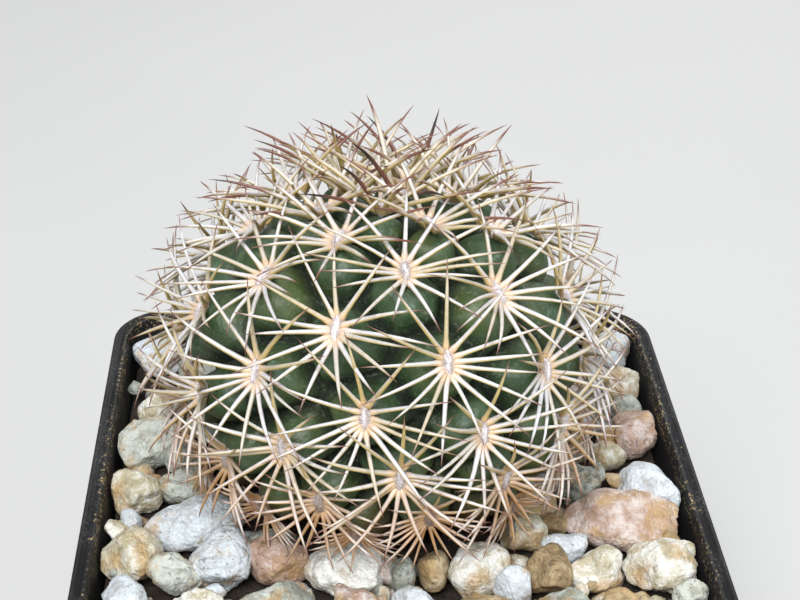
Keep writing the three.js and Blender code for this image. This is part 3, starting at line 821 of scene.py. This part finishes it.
def make_fibres():
    count = FIBRES * len(tips)
    owner = np.repeat(np.arange(len(tips)), FIBRES)
    angle = random.uniform(0, 2 * math.pi, count)
    reach = np.sqrt(random.uniform(0, 1, count)) * 0.95
    x, y = reach * np.cos(angle), reach * np.sin(angle)
    z = np.sqrt(np.maximum(0.02, 1 - reach**2))
    foot = np.stack([x * PAD_HALF_LENGTH, y * PAD_HALF_WIDTH, z * PAD_HALF_HEIGHT], 1)
    heading = angle + random.uniform(-1.3, 1.3, count)
    long = random.uniform(0.5, 1.15, count)
    rise = random.uniform(0.05, 0.5, count)
    t = np.linspace(0, 1, FIBRE_STEPS)[None, :]
    go = np.stack([np.cos(heading), np.sin(heading)], 1)
    curl = np.stack([-go[:, 1], go[:, 0]], 1) * random.uniform(-0.35, 0.35, count)[:, None]
    run = t[..., None] * go[:, None, :] + (t**2)[..., None] * curl[:, None, :]
    flat = foot[:, None, :2] + long[:, None, None] * run
    high = foot[:, 2:3] + long[:, None] * (rise[:, None] * t - 0.55 * t**2)
    local = np.concatenate([flat, high[..., None]], 2)
    down, side, normal = downs[owner], sides[owner], normals[owner]
    place = tips[owner][:, None, :] + local[..., 0:1] * down[:, None, :] + local[..., 1:2] * side[:, None, :]
    place = place + (PAD_LIFT + local[..., 2:3]) * normal[:, None, :]
    beside = np.cross(normal, unit(place[:, 1] - place[:, 0]))
    ring = []
    for corner in range(3):
        a = 2 * math.pi * corner / 3
        out = np.cos(a) * normal + np.sin(a) * beside
        ring.append(place + FIBRE_RADIUS * (1 - 0.7 * t[..., None]) * out[:, None, :])
    points = np.stack(ring, 2).reshape(-1, 3)
    base = np.arange(count)[:, None] * FIBRE_STEPS * 3 + np.arange(FIBRE_STEPS - 1)[None, :] * 3
    base = base.ravel()
    faces = []
    for corner in range(3):
        following = (corner + 1) % 3
        faces.append(np.stack([base + corner, base + following, base + following + 3, base + corner + 3], 1))
    return new_piece("areole_fibres", to_world(points), np.concatenate(faces).tolist())


fibres = make_fibres()


# %% Material of the wool
def make_wool():
    material, tree, shader, place = new_material("areole_wool")
    settings = {"feature": "DISTANCE_TO_EDGE"}
    crack = add_node(tree, "ShaderNodeTexVoronoi", settings, Vector=place, Scale=2600.0)
    colour = ramp(tree, crack.outputs["Distance"], [(0.01, (0.68, 0.55, 0.52)), (0.12, (0.79, 0.76, 0.78))])
    height = height_of(tree, place)
    colour = blend(tree, level(tree, height, 0.0885, 0.083, 0.0, 0.85), colour, rgba(0.34, 0.2, 0.12))
    tree.links.new(colour, shader.inputs["Base Color"])
    shader.inputs["Roughness"].default_value = 0.9
    shader.inputs["Sheen Weight"].default_value = 0.3
    set_bump(tree, shader, noise_node(tree, place, 5200.0, 3.0, 0.6), 0.7, 0.0003)
    return material


wool = make_wool()
finish_piece(cushions, wool, ["spines"])
finish_piece(fibres, wool, ["spines"])

# %% [markdown]
# ## The pot
#
# A nursery pot is one thin shell of black plastic: four tapered walls with rounded corners, a flat
# floor with drain holes, and a stiffening lip. It is drawn up from a square by extruding and
# resizing, as the lip, the groove in it and the hollow follow one after the other. The vertical
# edges are rounded before that, while they are still four simple edges.

# %% Pot sizes
BASE_WIDTH = 57 * MM
CORNER_RADIUS = 8 * MM
WALL = 1.2 * MM
WALL_SETBACK = 0.8 * MM
LIP_WIDTH = 1.9 * MM
LIP_HEIGHT = 4 * MM
LIP_GROOVE = 0.4 * MM
BEAD = 0.45 * MM
FLOOR_THICKNESS = 1.6 * MM
FOOT = 1 * MM
HOLE_RADIUS = 3 * MM
HOLE_OFFSET = 17 * MM
EDGE_ROUND = 0.14 * MM


def wall_half(z):
    top = RIM_WIDTH / 2 - WALL_SETBACK
    return BASE_WIDTH / 2 + (top - BASE_WIDTH / 2) * z / POT_HEIGHT


under = POT_HEIGHT - LIP_HEIGHT
print("half width at the floor and under the lip:", [round(wall_half(z) / MM, 1) for z in (0, under)])


# %% Pot shell
def widen(factor, height):
    """Resizes what is selected towards or away from the pot's axis, at its own height."""
    bpy.ops.transform.resize(value=(factor, factor, 1), center_override=(0, 0, height))


def make_pot():
    start_clean()
    bpy.ops.mesh.primitive_cube_add(size=1)
    pot = bpy.context.object
    pot.name = "pot_shell"
    pot.scale = (BASE_WIDTH, BASE_WIDTH, under)
    pot.location.z = under / 2
    bpy.ops.object.transform_apply(location=True, scale=True)
    bpy.ops.object.mode_set(mode="EDIT")
    pick(lambda p: p.z > under / 2)
    widen(wall_half(under) / wall_half(0), under)
    pick(lambda p: abs(p.z - under / 2) < FOOT, "EDGE")
    bpy.ops.mesh.bevel(offset=CORNER_RADIUS, segments=12)
    pick(lambda p: p.z < FOOT, "EDGE")
    bpy.ops.mesh.bevel(offset=FOOT, segments=3)
    # The lip stands out from the wall
    pick(lambda p: p.z > under - FOOT, "FACE")
    bpy.ops.mesh.extrude_region_move()
    widen(RIM_WIDTH / 2 / wall_half(under), under)
    bpy.ops.mesh.extrude_region_move(TRANSFORM_OT_translate={"value": (0, 0, LIP_HEIGHT)})
    # Its top: a bead, the groove and a second bead
    flank = LIP_WIDTH / 2 - BEAD
    for width, drop in ((BEAD, 0), (flank, -LIP_GROOVE), (flank, LIP_GROOVE), (BEAD, 0)):
        bpy.ops.mesh.inset(thickness=width)
        bpy.ops.transform.translate(value=(0, 0, drop))
    # The hollow, down to the floor
    inside = RIM_WIDTH / 2 - LIP_WIDTH
    height = POT_HEIGHT
    for half, low in [(wall_half(z) - WALL, z) for z in (under, FLOOR_THICKNESS)]:
        bpy.ops.mesh.extrude_region_move(TRANSFORM_OT_translate={"value": (0, 0, low - height)})
        widen(half / inside, low)
        inside, height = half, low
    bpy.ops.mesh.select_all(action="SELECT")
    bpy.ops.mesh.normals_make_consistent(inside=False)
    bpy.ops.object.mode_set(mode="OBJECT")
    return pot


pot = make_pot()
print("pot shell:", len(pot.data.polygons), "faces")


# %% Drain holes
def drill_holes(pot):
    spots = [(0, 0)] + [(x * HOLE_OFFSET, y * HOLE_OFFSET) for x in (-1, 1) for y in (-1, 1)]
    start_clean()
    for x, y in spots:
        bpy.ops.mesh.primitive_cylinder_add(
            vertices=32, radius=HOLE_RADIUS, depth=4 * FLOOR_THICKNESS, location=(x, y, 0)
        )
        bpy.context.object.name = "drill"
    drills = [piece for piece in bpy.context.scene.objects if piece.name.startswith("drill")]
    for drill in drills:
        drill.select_set(True)
    bpy.context.view_layer.objects.active = drills[0]
    bpy.ops.object.join()
    drill = bpy.context.object
    apply_modifier(pot, "BOOLEAN", object=drill, operation="DIFFERENCE", solver="EXACT")
    bpy.data.objects.remove(drill)
    sharp = math.radians(30)
    apply_modifier(pot, "BEVEL", width=EDGE_ROUND, segments=2, limit_method="ANGLE", angle_limit=sharp)


drill_holes(pot)

# %% [markdown]
# ## Black plastic
#
# The plastic is black and satin. Years of handling leave grey scuffs on the lip, and dust and
# golden grit collect there, so the dust gets denser with height.


# %% Material of the pot
def make_plastic():
    material, tree, shader, place = new_material("pot_plastic")
    sides = add_node(tree, "ShaderNodeSeparateXYZ", Vector=place).outputs
    height = sides["Z"]
    cloud = noise_node(tree, place, 90.0, 6.0, 0.65)
    fine = noise_node(tree, place, 2400.0, 4.0, 0.65)
    top = level(tree, height, 0.0738, 0.0747)
    wear = times(tree, level(tree, fine, 0.45, 0.7), level(tree, cloud, 0.4, 0.65))
    wear = times(tree, wear, plus(tree, times(tree, top, 0.5), 0.12))
    colour = blend(tree, wear, rgba(0.008, 0.008, 0.009), rgba(0.13, 0.13, 0.13))
    dots = place_group(tree, specks, Place=place, Scale=900.0, Size=0.16, Share=0.3).outputs["Mask"]
    dots = times(tree, dots, plus(tree, times(tree, top, 0.6), 0.1))
    colour = blend(tree, dots, colour, rgba(0.3, 0.22, 0.12))
    # Golden grit along the inner edge of the lip
    from_middle = [math_node(tree, "ABSOLUTE", sides[axis]) for axis in "XY"]
    out = math_node(tree, "MAXIMUM", *from_middle)
    edge = times(tree, level(tree, out, 0.0388, 0.0383), level(tree, height, 0.0725, 0.0738))
    grit = place_group(tree, specks, Place=place, Scale=2600.0, Size=0.42, Share=0.5).outputs["Mask"]
    grit = times(tree, times(tree, grit, edge), level(tree, cloud, 0.4, 0.6, 0.15, 0.8))
    colour = blend(tree, grit, colour, rgba(0.42, 0.31, 0.14))
    tree.links.new(colour, shader.inputs["Base Color"])
    tree.links.new(level(tree, fine, 0.3, 0.7, 0.48, 0.68), shader.inputs["Roughness"])
    shader.inputs["Specular IOR Level"].default_value = 0.22
    set_bump(tree, shader, fine, 0.15, 0.0002)
    return material


finish_piece(pot, make_plastic(), ["pot"], angle=30)

# %% [markdown]
# ## The gravel
#
# The soil is topped with quartz and granite gravel. A river makes such a stone from a broken lump:
# pieces are struck off, then the edges wear round. Each stone here is made the same way. A ball is
# stretched to the stone's size, planes cut chips off it, and a fine voxel skin that is smoothed wears
# the edges, longer for stones with few chips. Noise on three scales then gives it dents and pits.

# %% Gravel places and looks
# Place, length, width and height in mm, turn in degrees, chips struck off, shade along the colours
# of its kind, share of ochre stain and share of dark mineral specks
GRAVEL = {
    1: (-33.3, 31, 8.2, 7.6, 6, 20, 6, 0.6, 0.1, 0.1),
    2: (-33.2, 8.6, 8.4, 9.8, 6.4, 0, 5, 1.2, 0.15, 0.2),
    3: (-28.6, 4.4, 5.2, 5.2, 4.8, 10, 5, 0.45, 0.0, 0.5),
    4: (-33.8, -2.4, 7.2, 5.6, 5.8, 5, 8, 0.55, 0.15, 0.1),
    5: (-28, -2.4, 8, 6.2, 6, -8, 9, 1.0, 0.55, 0.3),
    6: (-33.4, -16.3, 8, 8, 6.4, 30, 6, 0.5, 0.45, 0.15),
    7: (-25.8, -9.8, 13.2, 7.4, 6.4, 20, 3, 0.75, 0.1, 0.25),
    8: (-22.2, -16.9, 9.6, 8, 6.6, 75, 6, 0.55, 0.05, 0.5),
    9: (-28, -20, 8, 5.6, 5.8, -25, 8, 1.1, 0.3, 0.4),
    10: (-33.8, -24.5, 6.4, 5.4, 5.6, 0, 8, 0.8, 0.1, 0.1),
    11: (-25, -25.8, 6.8, 4.8, 5, 0, 8, 0.9, 0.2, 0.1),
    12: (-15.2, -17.4, 8.6, 6, 6, -22, 7, 0.2, 0.25, 0.4),
    13: (-15.4, -24.8, 9.8, 4.8, 4.8, 4, 4, 0.65, 0.3, 0.4),
    14: (-7.2, -19.5, 10, 7.6, 6.6, -15, 7, 1.6, 0.15, 0.0),
    15: (1.4, -25.6, 6, 4.4, 4.8, 0, 7, 0.9, 0.1, 0.0),
    16: (3.9, -19.5, 4, 5.4, 6, 0, 3, 0.7, 0.25, 0.2),
    17: (9.6, -19, 7.8, 7, 6.6, 15, 4, 0.95, 0.4, 0.0),
    18: (13.6, -23.2, 4.6, 4.8, 6, -30, 6, 0.7, 0.35, 0.1),
    19: (16.1, -12.2, 5.7, 5.7, 5, 0, 9, 0.75, 0.3, 0.1),
    20: (21.1, -15.1, 6.4, 4.6, 4.8, -12, 7, 0.85, 0.05, 0.1),
    21: (18.2, -20.4, 5.8, 6.8, 6.4, 0, 7, 0.3, 0.05, 0.35),
    22: (24.5, -20.1, 7.2, 5.6, 5.8, 15, 8, 0.85, 0.35, 0.0),
    23: (26.3, -26, 4.6, 4, 4.6, 0, 7, 1.0, 0.6, 0.0),
    24: (29, -9.9, 15.2, 9.8, 7, -12, 4, 0.65, 0.25, 0.05),
    25: (33.7, -3.4, 11, 7, 6.8, -65, 6, 1.0, 0.15, 0.1),
    26: (32.4, -19.2, 9.2, 8.4, 6.6, -20, 9, 0.9, 0.35, 0.1),
    27: (35, -24.8, 4.4, 3.8, 4.8, 30, 6, 1.3, 0.0, 0.5),
    28: (34.2, 9.5, 6.4, 8.2, 6.4, 0, 5, 0.45, 0.2, 0.4),
    29: (24.4, -1.7, 6.2, 5.6, 5.6, 0, 8, 0.5, 0.1, 0.9),
    30: (29.5, 4.5, 5.4, 4, 4.8, 10, 5, 0.6, 0.3, 0.1),
    31: (30.9, 9.2, 3.8, 3.6, 4, 0, 6, 0.7, 0.9, 0.0),
    32: (33.8, 15.6, 4.2, 4, 4.6, 0, 5, 0.45, 0.0, 0.3),
    33: (34.3, 22.2, 6.2, 5, 5.2, 0, 5, 0.85, 0.35, 0.0),
    34: (34.1, 31.4, 6.4, 7, 5.6, 0, 6, 0.75, 0.1, 0.0),
    35: (25.6, 6.6, 5.4, 4, 4.2, 0, 5, 0.7, 0.3, 0.0),
    36: (0, -20.6, 3.4, 4.6, 6, 0, 3, 0.5, 0.1, 0.6),
    37: (-33, 17, 5.8, 5, 5.2, 0, 6, 0.7, 0.2, 0.1),
}
# Small stones between them: place of the middle, length, width, height, kind, shade, stain, mineral
SMALL_STONES = [
    (-36.1, 21.7, 72.8, 2.4, 2.2, 1.8, "stone_grey", 0.6, 0, 0.2),
    (-36.2, 13.9, 72.8, 2, 2.2, 1.8, "stone_cream", 0.6, 0.3, 0),
    (-29.8, 17.8, 72.6, 2.9, 2.8, 2.2, "stone_white", 0.8, 0, 0),
    (-34.2, -9, 72.6, 3.9, 2.6, 2.2, "stone_white", 0.9, 0, 0),
    (-35.6, -11.2, 72.4, 3.2, 2.9, 2.6, "stone_cream", 0.8, 0.1, 0.1),
    (-22.9, -23.2, 72.6, 2.9, 2.2, 2, "stone_white", 0.9, 0, 0.1),
    (-2.6, -23.6, 72, 2.4, 2.8, 2.6, "stone_grey", 0.8, 0, 0.1),
    (14, -17, 72.4, 2, 2, 2, "stone_rose", 0.4, 0.1, 0.2),
    (29.7, -1.2, 72.4, 3.3, 2.6, 2.2, "stone_ochre", 0.9, 0.4, 0),
    (27.6, 0.6, 72.4, 2, 4.4, 3, "stone_grey", 0.6, 0.2, 0.3),
    (36.5, -16.2, 72.6, 1.6, 2.6, 2, "stone_cream", 0.6, 0.1, 0.1),
    (36.2, 18.4, 72.4, 2, 2.2, 1.8, "stone_ochre", 0.3, 0.5, 0.2),
    (20.4, -9.8, 71.6, 3.2, 3.4, 3, "stone_ochre", 0.1, 0.2, 0.4),
    (31.4, 16.9, 72.4, 2, 2.2, 1.8, "stone_cream", 0.5, 0.4, 0),
    (-15.6, -13.2, 71.8, 7.6, 4.6, 4.6, "stone_grey", 0.5, 0.1, 0.4),
    (-30.6, -24.2, 72.4, 2.2, 2, 2, "stone_cream", 0.7, 0.2, 0),
    (22, -23.4, 72.2, 2.4, 2.2, 2.2, "stone_cream", 0.6, 0.4, 0.1),
]
STONE_SKIN = 0.27 * MM
STONE_LIMIT = 37.3 * MM
CHIP_DEPTHS = (0.56, 0.88)
FEW_CHIPS = 6
STONE_TILT = 9
print("stones by hand:", len(GRAVEL), "small ones:", len(SMALL_STONES))


# %% Shape of a stone
def strike_chips(half, chips, random):
    """Cuts the stretched ball with planes that each take off a shallow cap."""
    bpy.ops.object.mode_set(mode="EDIT")
    for _ in range(chips):
        bpy.ops.mesh.select_all(action="SELECT")
        normal = unit(random.normal(size=3) * (1, 1, 0.8))
        reach = float(np.linalg.norm(normal * half))
        place = normal * reach * random.uniform(*CHIP_DEPTHS)
        bpy.ops.mesh.bisect(plane_co=place, plane_no=normal, use_fill=True, clear_outer=True)
    bpy.ops.object.mode_set(mode="OBJECT")


def fill_box(piece, half):
    """Stretches what the chips left back to the stone's full size."""
    points = points_of(piece)
    low, high = points.min(0), points.max(0)
    set_points(piece, (points - (low + high) / 2) * (2 * half / (high - low)))


def roughen(points, seed, size):
    """Moves the points in and out along the line from their middle, by noise on three scales."""
    out = unit(points - points.mean(0))
    shift = Vector((seed * 3.1, seed * 1.7, 0))
    coarse = np.array([noise.noise(Vector(p) * 260 + shift) for p in points])
    medium = np.array([noise.noise(Vector(p) * 750 + shift) for p in points])
    fine = np.array([noise.noise(Vector(p) * 1900 + shift) for p in points])
    pits = -np.maximum(0, medium * 0.5 + fine - 0.35)
    return points + out * (size * (0.75 * coarse + 0.3 * medium + 0.12 * fine + 0.5 * pits))[:, None]


def make_pebble(name, place, size, turn, chips, seed, looks):
    random = np.random.default_rng(seed)
    half = np.array(size) / 2 * MM
    start_clean()
    bpy.ops.mesh.primitive_ico_sphere_add(subdivisions=4, radius=1)
    pebble = bpy.context.object
    pebble.name = name
    pebble.scale = half
    bpy.ops.object.transform_apply(scale=True)
    strike_chips(half, chips, random)
    fill_box(pebble, half)
    tilt = np.radians(random.uniform(-STONE_TILT, STONE_TILT, 2))
    pebble.rotation_euler = (tilt[0], tilt[1], math.radians(turn))
    pebble.location = Vector(place) * MM
    bpy.ops.object.transform_apply(location=True, rotation=True)
    apply_modifier(pebble, "REMESH", mode="VOXEL", voxel_size=STONE_SKIN * min(1, size[1] / 5))
    apply_modifier(pebble, "SMOOTH", factor=0.5, iterations=4 if chips < FEW_CHIPS else 2)
    points = roughen(points_of(pebble), seed, (0.5 + 0.1 * chips) * MM * min(1, size[1] / 6))
    points[:, :2] = np.clip(points[:, :2], -STONE_LIMIT, STONE_LIMIT)
    set_points(pebble, points)
    for label, value in zip(("shade", "stain", "mineral"), looks):
        set_attribute(pebble, label, np.full(len(points), value))
    return pebble


# %% Stones
LAYER_MIDDLE = 72.4
USUAL_HEIGHT = 6
BOX_FILL = (1.08, 1.08, 1.05)


def make_numbered_stone(number):
    """A stone of the solids: by its row in the table, or else by its solid's box."""
    name = f"pebble_{number:02d}"
    if number in GRAVEL:
        x, y, length, width, height, turn, chips, *looks = GRAVEL[number]
        middle = (x, y, LAYER_MIDDLE - 0.1 * (USUAL_HEIGHT - height))
        return make_pebble(name, middle, (length, width, height), turn, chips, number, looks)
    low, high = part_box(f"stone_{number:02d}")
    size = (high - low) / MM
    random = np.random.default_rng(number)
    looks = random.uniform(0.3, 1, 3) * (1, 0.5, 0.4)
    full = [side * fill for side, fill in zip(size, BOX_FILL)]
    return make_pebble(name, (low + high) / 2 / MM, full, 0, int(random.integers(4, 9)), number, looks)


stone_numbers = sorted(int(name[-2:]) for name in frame["nodes"] if name.startswith("stone_"))
pebbles = {number: make_numbered_stone(number) for number in stone_numbers}
print("pebbles:", len(pebbles), "points:", sum(len(p.data.vertices) for p in pebbles.values()))

# %% [markdown]
# ## Stone
#
# All the gravel shares one recipe: cloudy bands of the kind's three colours, crystals that differ
# a little in tone, ochre stains from iron, thin brown veins, and dark mineral specks. The shade,
# stain and mineral values of each stone come from its attributes, so one material serves every
# stone of a kind.


# %% Materials of the gravel
def make_stone(name, colours, roughness):
    material, tree, shader, place = new_material(name)
    shade = attribute(tree, "shade")
    texture = place_group(tree, grains, Place=place, Scale=1800.0)
    cloud = level(tree, texture.outputs["Cloud"], 0.3, 0.7)
    tone = plus(tree, times(tree, cloud, 0.55), times(tree, shade, 0.5))
    tone = plus(tree, tone, times(tree, texture.outputs["Crystal"], 0.22))
    colour = ramp(tree, math_node(tree, "SUBTRACT", tone, 0.1), list(zip((0.1, 0.5, 0.9), colours)))
    patch = noise_node(tree, place, 230.0, 5.0, 0.6)
    stain = level(tree, plus(tree, patch, times(tree, attribute(tree, "stain"), 0.3)), 0.57, 0.72)
    colour = blend(tree, times(tree, stain, 0.72), colour, rgba(0.5, 0.31, 0.12))
    # Thin veins where a slow noise crosses its middle
    slow = noise_node(tree, place, 330.0, 4.0, 0.6)
    ridge = math_node(tree, "ABSOLUTE", math_node(tree, "SUBTRACT", slow, 0.5))
    vein = times(tree, level(tree, ridge, 0.014, 0.002), level(tree, patch, 0.45, 0.6, 0.1, 0.6))
    colour = blend(tree, vein, colour, rgba(0.38, 0.25, 0.12))
    spots = noise_node(tree, place, 1300.0, 3.0, 0.6)
    dark = plus(tree, spots, times(tree, attribute(tree, "mineral"), 0.2))
    dark = level(tree, dark, 0.68, 0.75, 0.0, 0.6)
    colour = blend(tree, dark, colour, rgba(0.06, 0.055, 0.045))
    pits = level(tree, texture.outputs["Height"], 0.35, 0.6, 0.3, 0.0)
    colour = blend(tree, pits, colour, rgba(0.3, 0.21, 0.11))
    tree.links.new(colour, shader.inputs["Base Color"])
    tree.links.new(level(tree, cloud, 0.0, 1.0, roughness, roughness + 0.2), shader.inputs["Roughness"])
    set_bump(tree, shader, texture.outputs["Height"], 0.75, 0.0006)
    return material


KINDS = {
    "stone_white": [(0.38, 0.4, 0.39), (0.54, 0.58, 0.61), (0.68, 0.73, 0.77)],
    "stone_cream": [(0.36, 0.3, 0.17), (0.52, 0.47, 0.33), (0.8, 0.79, 0.74)],
    "stone_rose": [(0.3, 0.17, 0.11), (0.46, 0.32, 0.26), (0.68, 0.6, 0.56)],
    "stone_ochre": [(0.17, 0.11, 0.05), (0.36, 0.26, 0.14), (0.58, 0.47, 0.3)],
    "stone_grey": [(0.14, 0.16, 0.13), (0.33, 0.36, 0.32), (0.56, 0.58, 0.52)],
}
stones = {kind: make_stone(kind, colours, 0.5) for kind, colours in KINDS.items()}
slot_of = {entry["node"]: entry["material_slot"] for entry in frame["record"]["subparts"]}
for number, pebble in pebbles.items():
    node = f"stone_{number:02d}"
    finish_piece(pebble, stones[slot_of[node]], [node])

SMALL_TURN = 40
SMALL_CHIPS = 6
SMALL_SEED = 100
small_pebbles = []
for i, (x, y, z, length, width, height, kind, *looks) in enumerate(SMALL_STONES):
    name = f"small_pebble_{i + 1:02d}"
    size = (length, width, height)
    pebble = make_pebble(name, (x, y, z), size, SMALL_TURN * i, SMALL_CHIPS, SMALL_SEED + i, looks)
    finish_piece(pebble, stones[kind])
    small_pebbles.append(pebble)

# %% [markdown]
# ## Soil and grit
#
# Between the big stones lie smaller ones and grit, and under them the soil shows as dark gaps. The
# grit grains are copies of a cube whose sides are cut in nine and pressed towards a sphere. Each
# drops onto what lies below its place and is kept only where it comes to rest low, between the
# stones.

# %% Grain model and resting place
from mathutils.bvhtree import BVHTree


def make_grain_model():
    start_clean()
    bpy.ops.mesh.primitive_cube_add(size=2)
    model = bpy.context.object
    bpy.ops.object.mode_set(mode="EDIT")
    bpy.ops.mesh.select_all(action="SELECT")
    bpy.ops.mesh.subdivide(number_cuts=2)
    bpy.ops.transform.tosphere(value=0.75)
    bpy.ops.object.mode_set(mode="OBJECT")
    return model


grain = make_grain_model()
grain_points = points_of(grain)
grain_faces = faces_of(grain)
bpy.data.objects.remove(grain)


def surface_tree(pieces):
    points, faces = [], []
    for piece in pieces:
        start = len(points)
        points.extend(vertex.co.copy() for vertex in piece.data.vertices)
        faces.extend([v + start for v in face.vertices] for face in piece.data.polygons)
    return BVHTree.FromPolygons(points, faces)


ground = surface_tree([frame["nodes"]["potting_soil"], stem, *pebbles.values(), *small_pebbles])
print("grain:", len(grain_points), "points", len(grain_faces), "faces")


# %% Grit
INSIDE = 36.8
GRIT_COUNT = 1700
GRIT_GROUND = STONE_TOP - 3
GRIT_LIMIT = STONE_TOP - 1.4
SKY = STONE_TOP + 2


def drop(x, y):
    """Height of what lies below a place, under the overhang of the stem too."""
    hit = ground.ray_cast(Vector((x, y, SKY)) * MM, Vector((0, 0, -1)))[0]
    return hit.z / MM if hit else SKY


def scatter_grit():
    """Middle, half sizes, turn and kind of every grain."""
    random = np.random.default_rng(3)
    kinds = list(KINDS)
    grains_laid = []
    for _ in range(GRIT_COUNT):
        size = 0.4 + 1.35 * random.uniform() ** 1.8
        x, y = random.uniform(-INSIDE + size, INSIDE - size, 2)
        z = drop(x, y)
        half = size * random.uniform(0.75, 1.2, 3) * (1, 1, 0.8)
        kind = kinds[int(random.integers(len(kinds)))]
        if z < GRIT_GROUND and z + 1.5 * half[2] < GRIT_LIMIT:
            middle = np.array([x, y, z + 0.55 * half[2]])
            grains_laid.append((middle, half, random.uniform(0, 2 * math.pi), kind))
    return grains_laid


def make_grit(kind, grains_laid):
    random = np.random.default_rng(len(kind))
    points, faces, looks = [], [], []
    for place, half, angle, _ in grains_laid:
        turn = np.array(Matrix.Rotation(angle, 3, "Z") @ Matrix.Rotation(angle * 2, 3, "X"))
        ragged = grain_points * random.uniform(0.82, 1.12, (len(grain_points), 1))
        offset = len(points) * len(grain_points)
        points.append((ragged * half) @ turn.T + place)
        faces.extend(tuple(v + offset for v in face) for face in grain_faces)
        looks.append(random.uniform(0.1, 0.9, 3) * (1, 0.6, 0.5))
    piece = new_piece("grit_" + kind.split("_")[1], np.concatenate(points) * MM, faces)
    for name, column in zip(("shade", "stain", "mineral"), np.array(looks).T):
        set_attribute(piece, name, np.repeat(column, len(grain_points)))
    return piece


grit = scatter_grit()
for kind in KINDS:
    finish_piece(make_grit(kind, [g for g in grit if g[3] == kind]), stones[kind])
print("grit:", len(grit), "grains")


# %% Soil
def make_earth():
    material, tree, shader, place = new_material("potting_soil")
    texture = place_group(tree, grains, Place=place, Scale=900.0)
    colour = ramp(
        tree,
        texture.outputs["Cloud"],
        [(0.3, (0.012, 0.008, 0.005)), (0.55, (0.04, 0.026, 0.016)), (0.8, (0.1, 0.07, 0.045))],
    )
    tree.links.new(colour, shader.inputs["Base Color"])
    shader.inputs["Roughness"].default_value = 0.95
    set_bump(tree, shader, texture.outputs["Height"], 1.0, 0.0012)
    return material


earth = make_earth()
soil = frame["nodes"]["potting_soil"]
soil.data.materials.clear()
soil.data.materials.append(earth)


CRUMB_COUNT = 420
CRUMB_GROUND = SOIL_TOP + 1.6


def make_crumbs():
    random = np.random.default_rng(9)
    points, faces = [], []
    while len(points) < CRUMB_COUNT:
        size = 0.3 + 0.6 * random.uniform() ** 2
        x, y = random.uniform(-INSIDE + size, INSIDE - size, 2)
        z = drop(x, y)
        if z > CRUMB_GROUND:
            continue
        half = size * random.uniform(0.5, 1.5, 3) * (1, 1, 0.6)
        turn = np.array(Matrix.Rotation(random.uniform(0, 6), 3, "Z"))
        ragged = grain_points * random.uniform(0.75, 1.15, (len(grain_points), 1))
        offset = len(points) * len(grain_points)
        points.append((ragged * half) @ turn.T + (x, y, z + 0.3 * half[2]))
        faces.extend(tuple(v + offset for v in face) for face in grain_faces)
    return new_piece("soil_crumbs", np.concatenate(points) * MM, faces)


finish_piece(make_crumbs(), earth)

# %% [markdown]
# ## Floor and light
#
# The pot stands on a plain pale floor under soft studio light: one large lamp in front and above, a
# weaker one from the right, another from behind, and a pale sky that fills the shadows.


# %% Stage
def make_floor():
    start_clean()
    bpy.ops.mesh.primitive_plane_add(size=3)
    floor = bpy.context.object
    floor.name = "floor"
    material, tree, shader, place = new_material("floor")
    tone = noise_node(tree, place, 3.0, 3.0, 0.5)
    colour = ramp(tree, tone, [(0.3, (0.52, 0.51, 0.5)), (0.7, (0.56, 0.55, 0.54))])
    tree.links.new(colour, shader.inputs["Base Color"])
    shader.inputs["Roughness"].default_value = 0.8
    floor.data.materials.append(material)


def add_light(name, place, target, size, power, colour=(1, 1, 1)):
    data = bpy.data.lights.new(name, "AREA")
    data.size = size
    data.energy = power
    data.color = colour
    light = bpy.data.objects.new(name, data)
    light.location = place
    light.rotation_euler = (Vector(target) - Vector(place)).to_track_quat("-Z", "Y").to_euler()
    bpy.context.scene.collection.objects.link(light)


make_floor()
middle = (0, 0, 0.08)
bpy.context.scene.view_settings.view_transform = "Standard"
add_light("key", (-0.14, -0.52, 0.7), middle, 0.35, 9, (0.97, 0.99, 1))
add_light("fill", (0.6, -0.5, 0.45), middle, 0.5, 2.2, (0.93, 0.97, 1))
add_light("back", (0.15, 0.6, 0.6), middle, 0.4, 3)
world = bpy.data.worlds.new("studio")
world.use_nodes = True
world.node_tree.nodes["Background"].inputs["Color"].default_value = rgba(0.9, 0.95, 1.0)
world.node_tree.nodes["Background"].inputs["Strength"].default_value = 0.45
bpy.context.scene.world = world
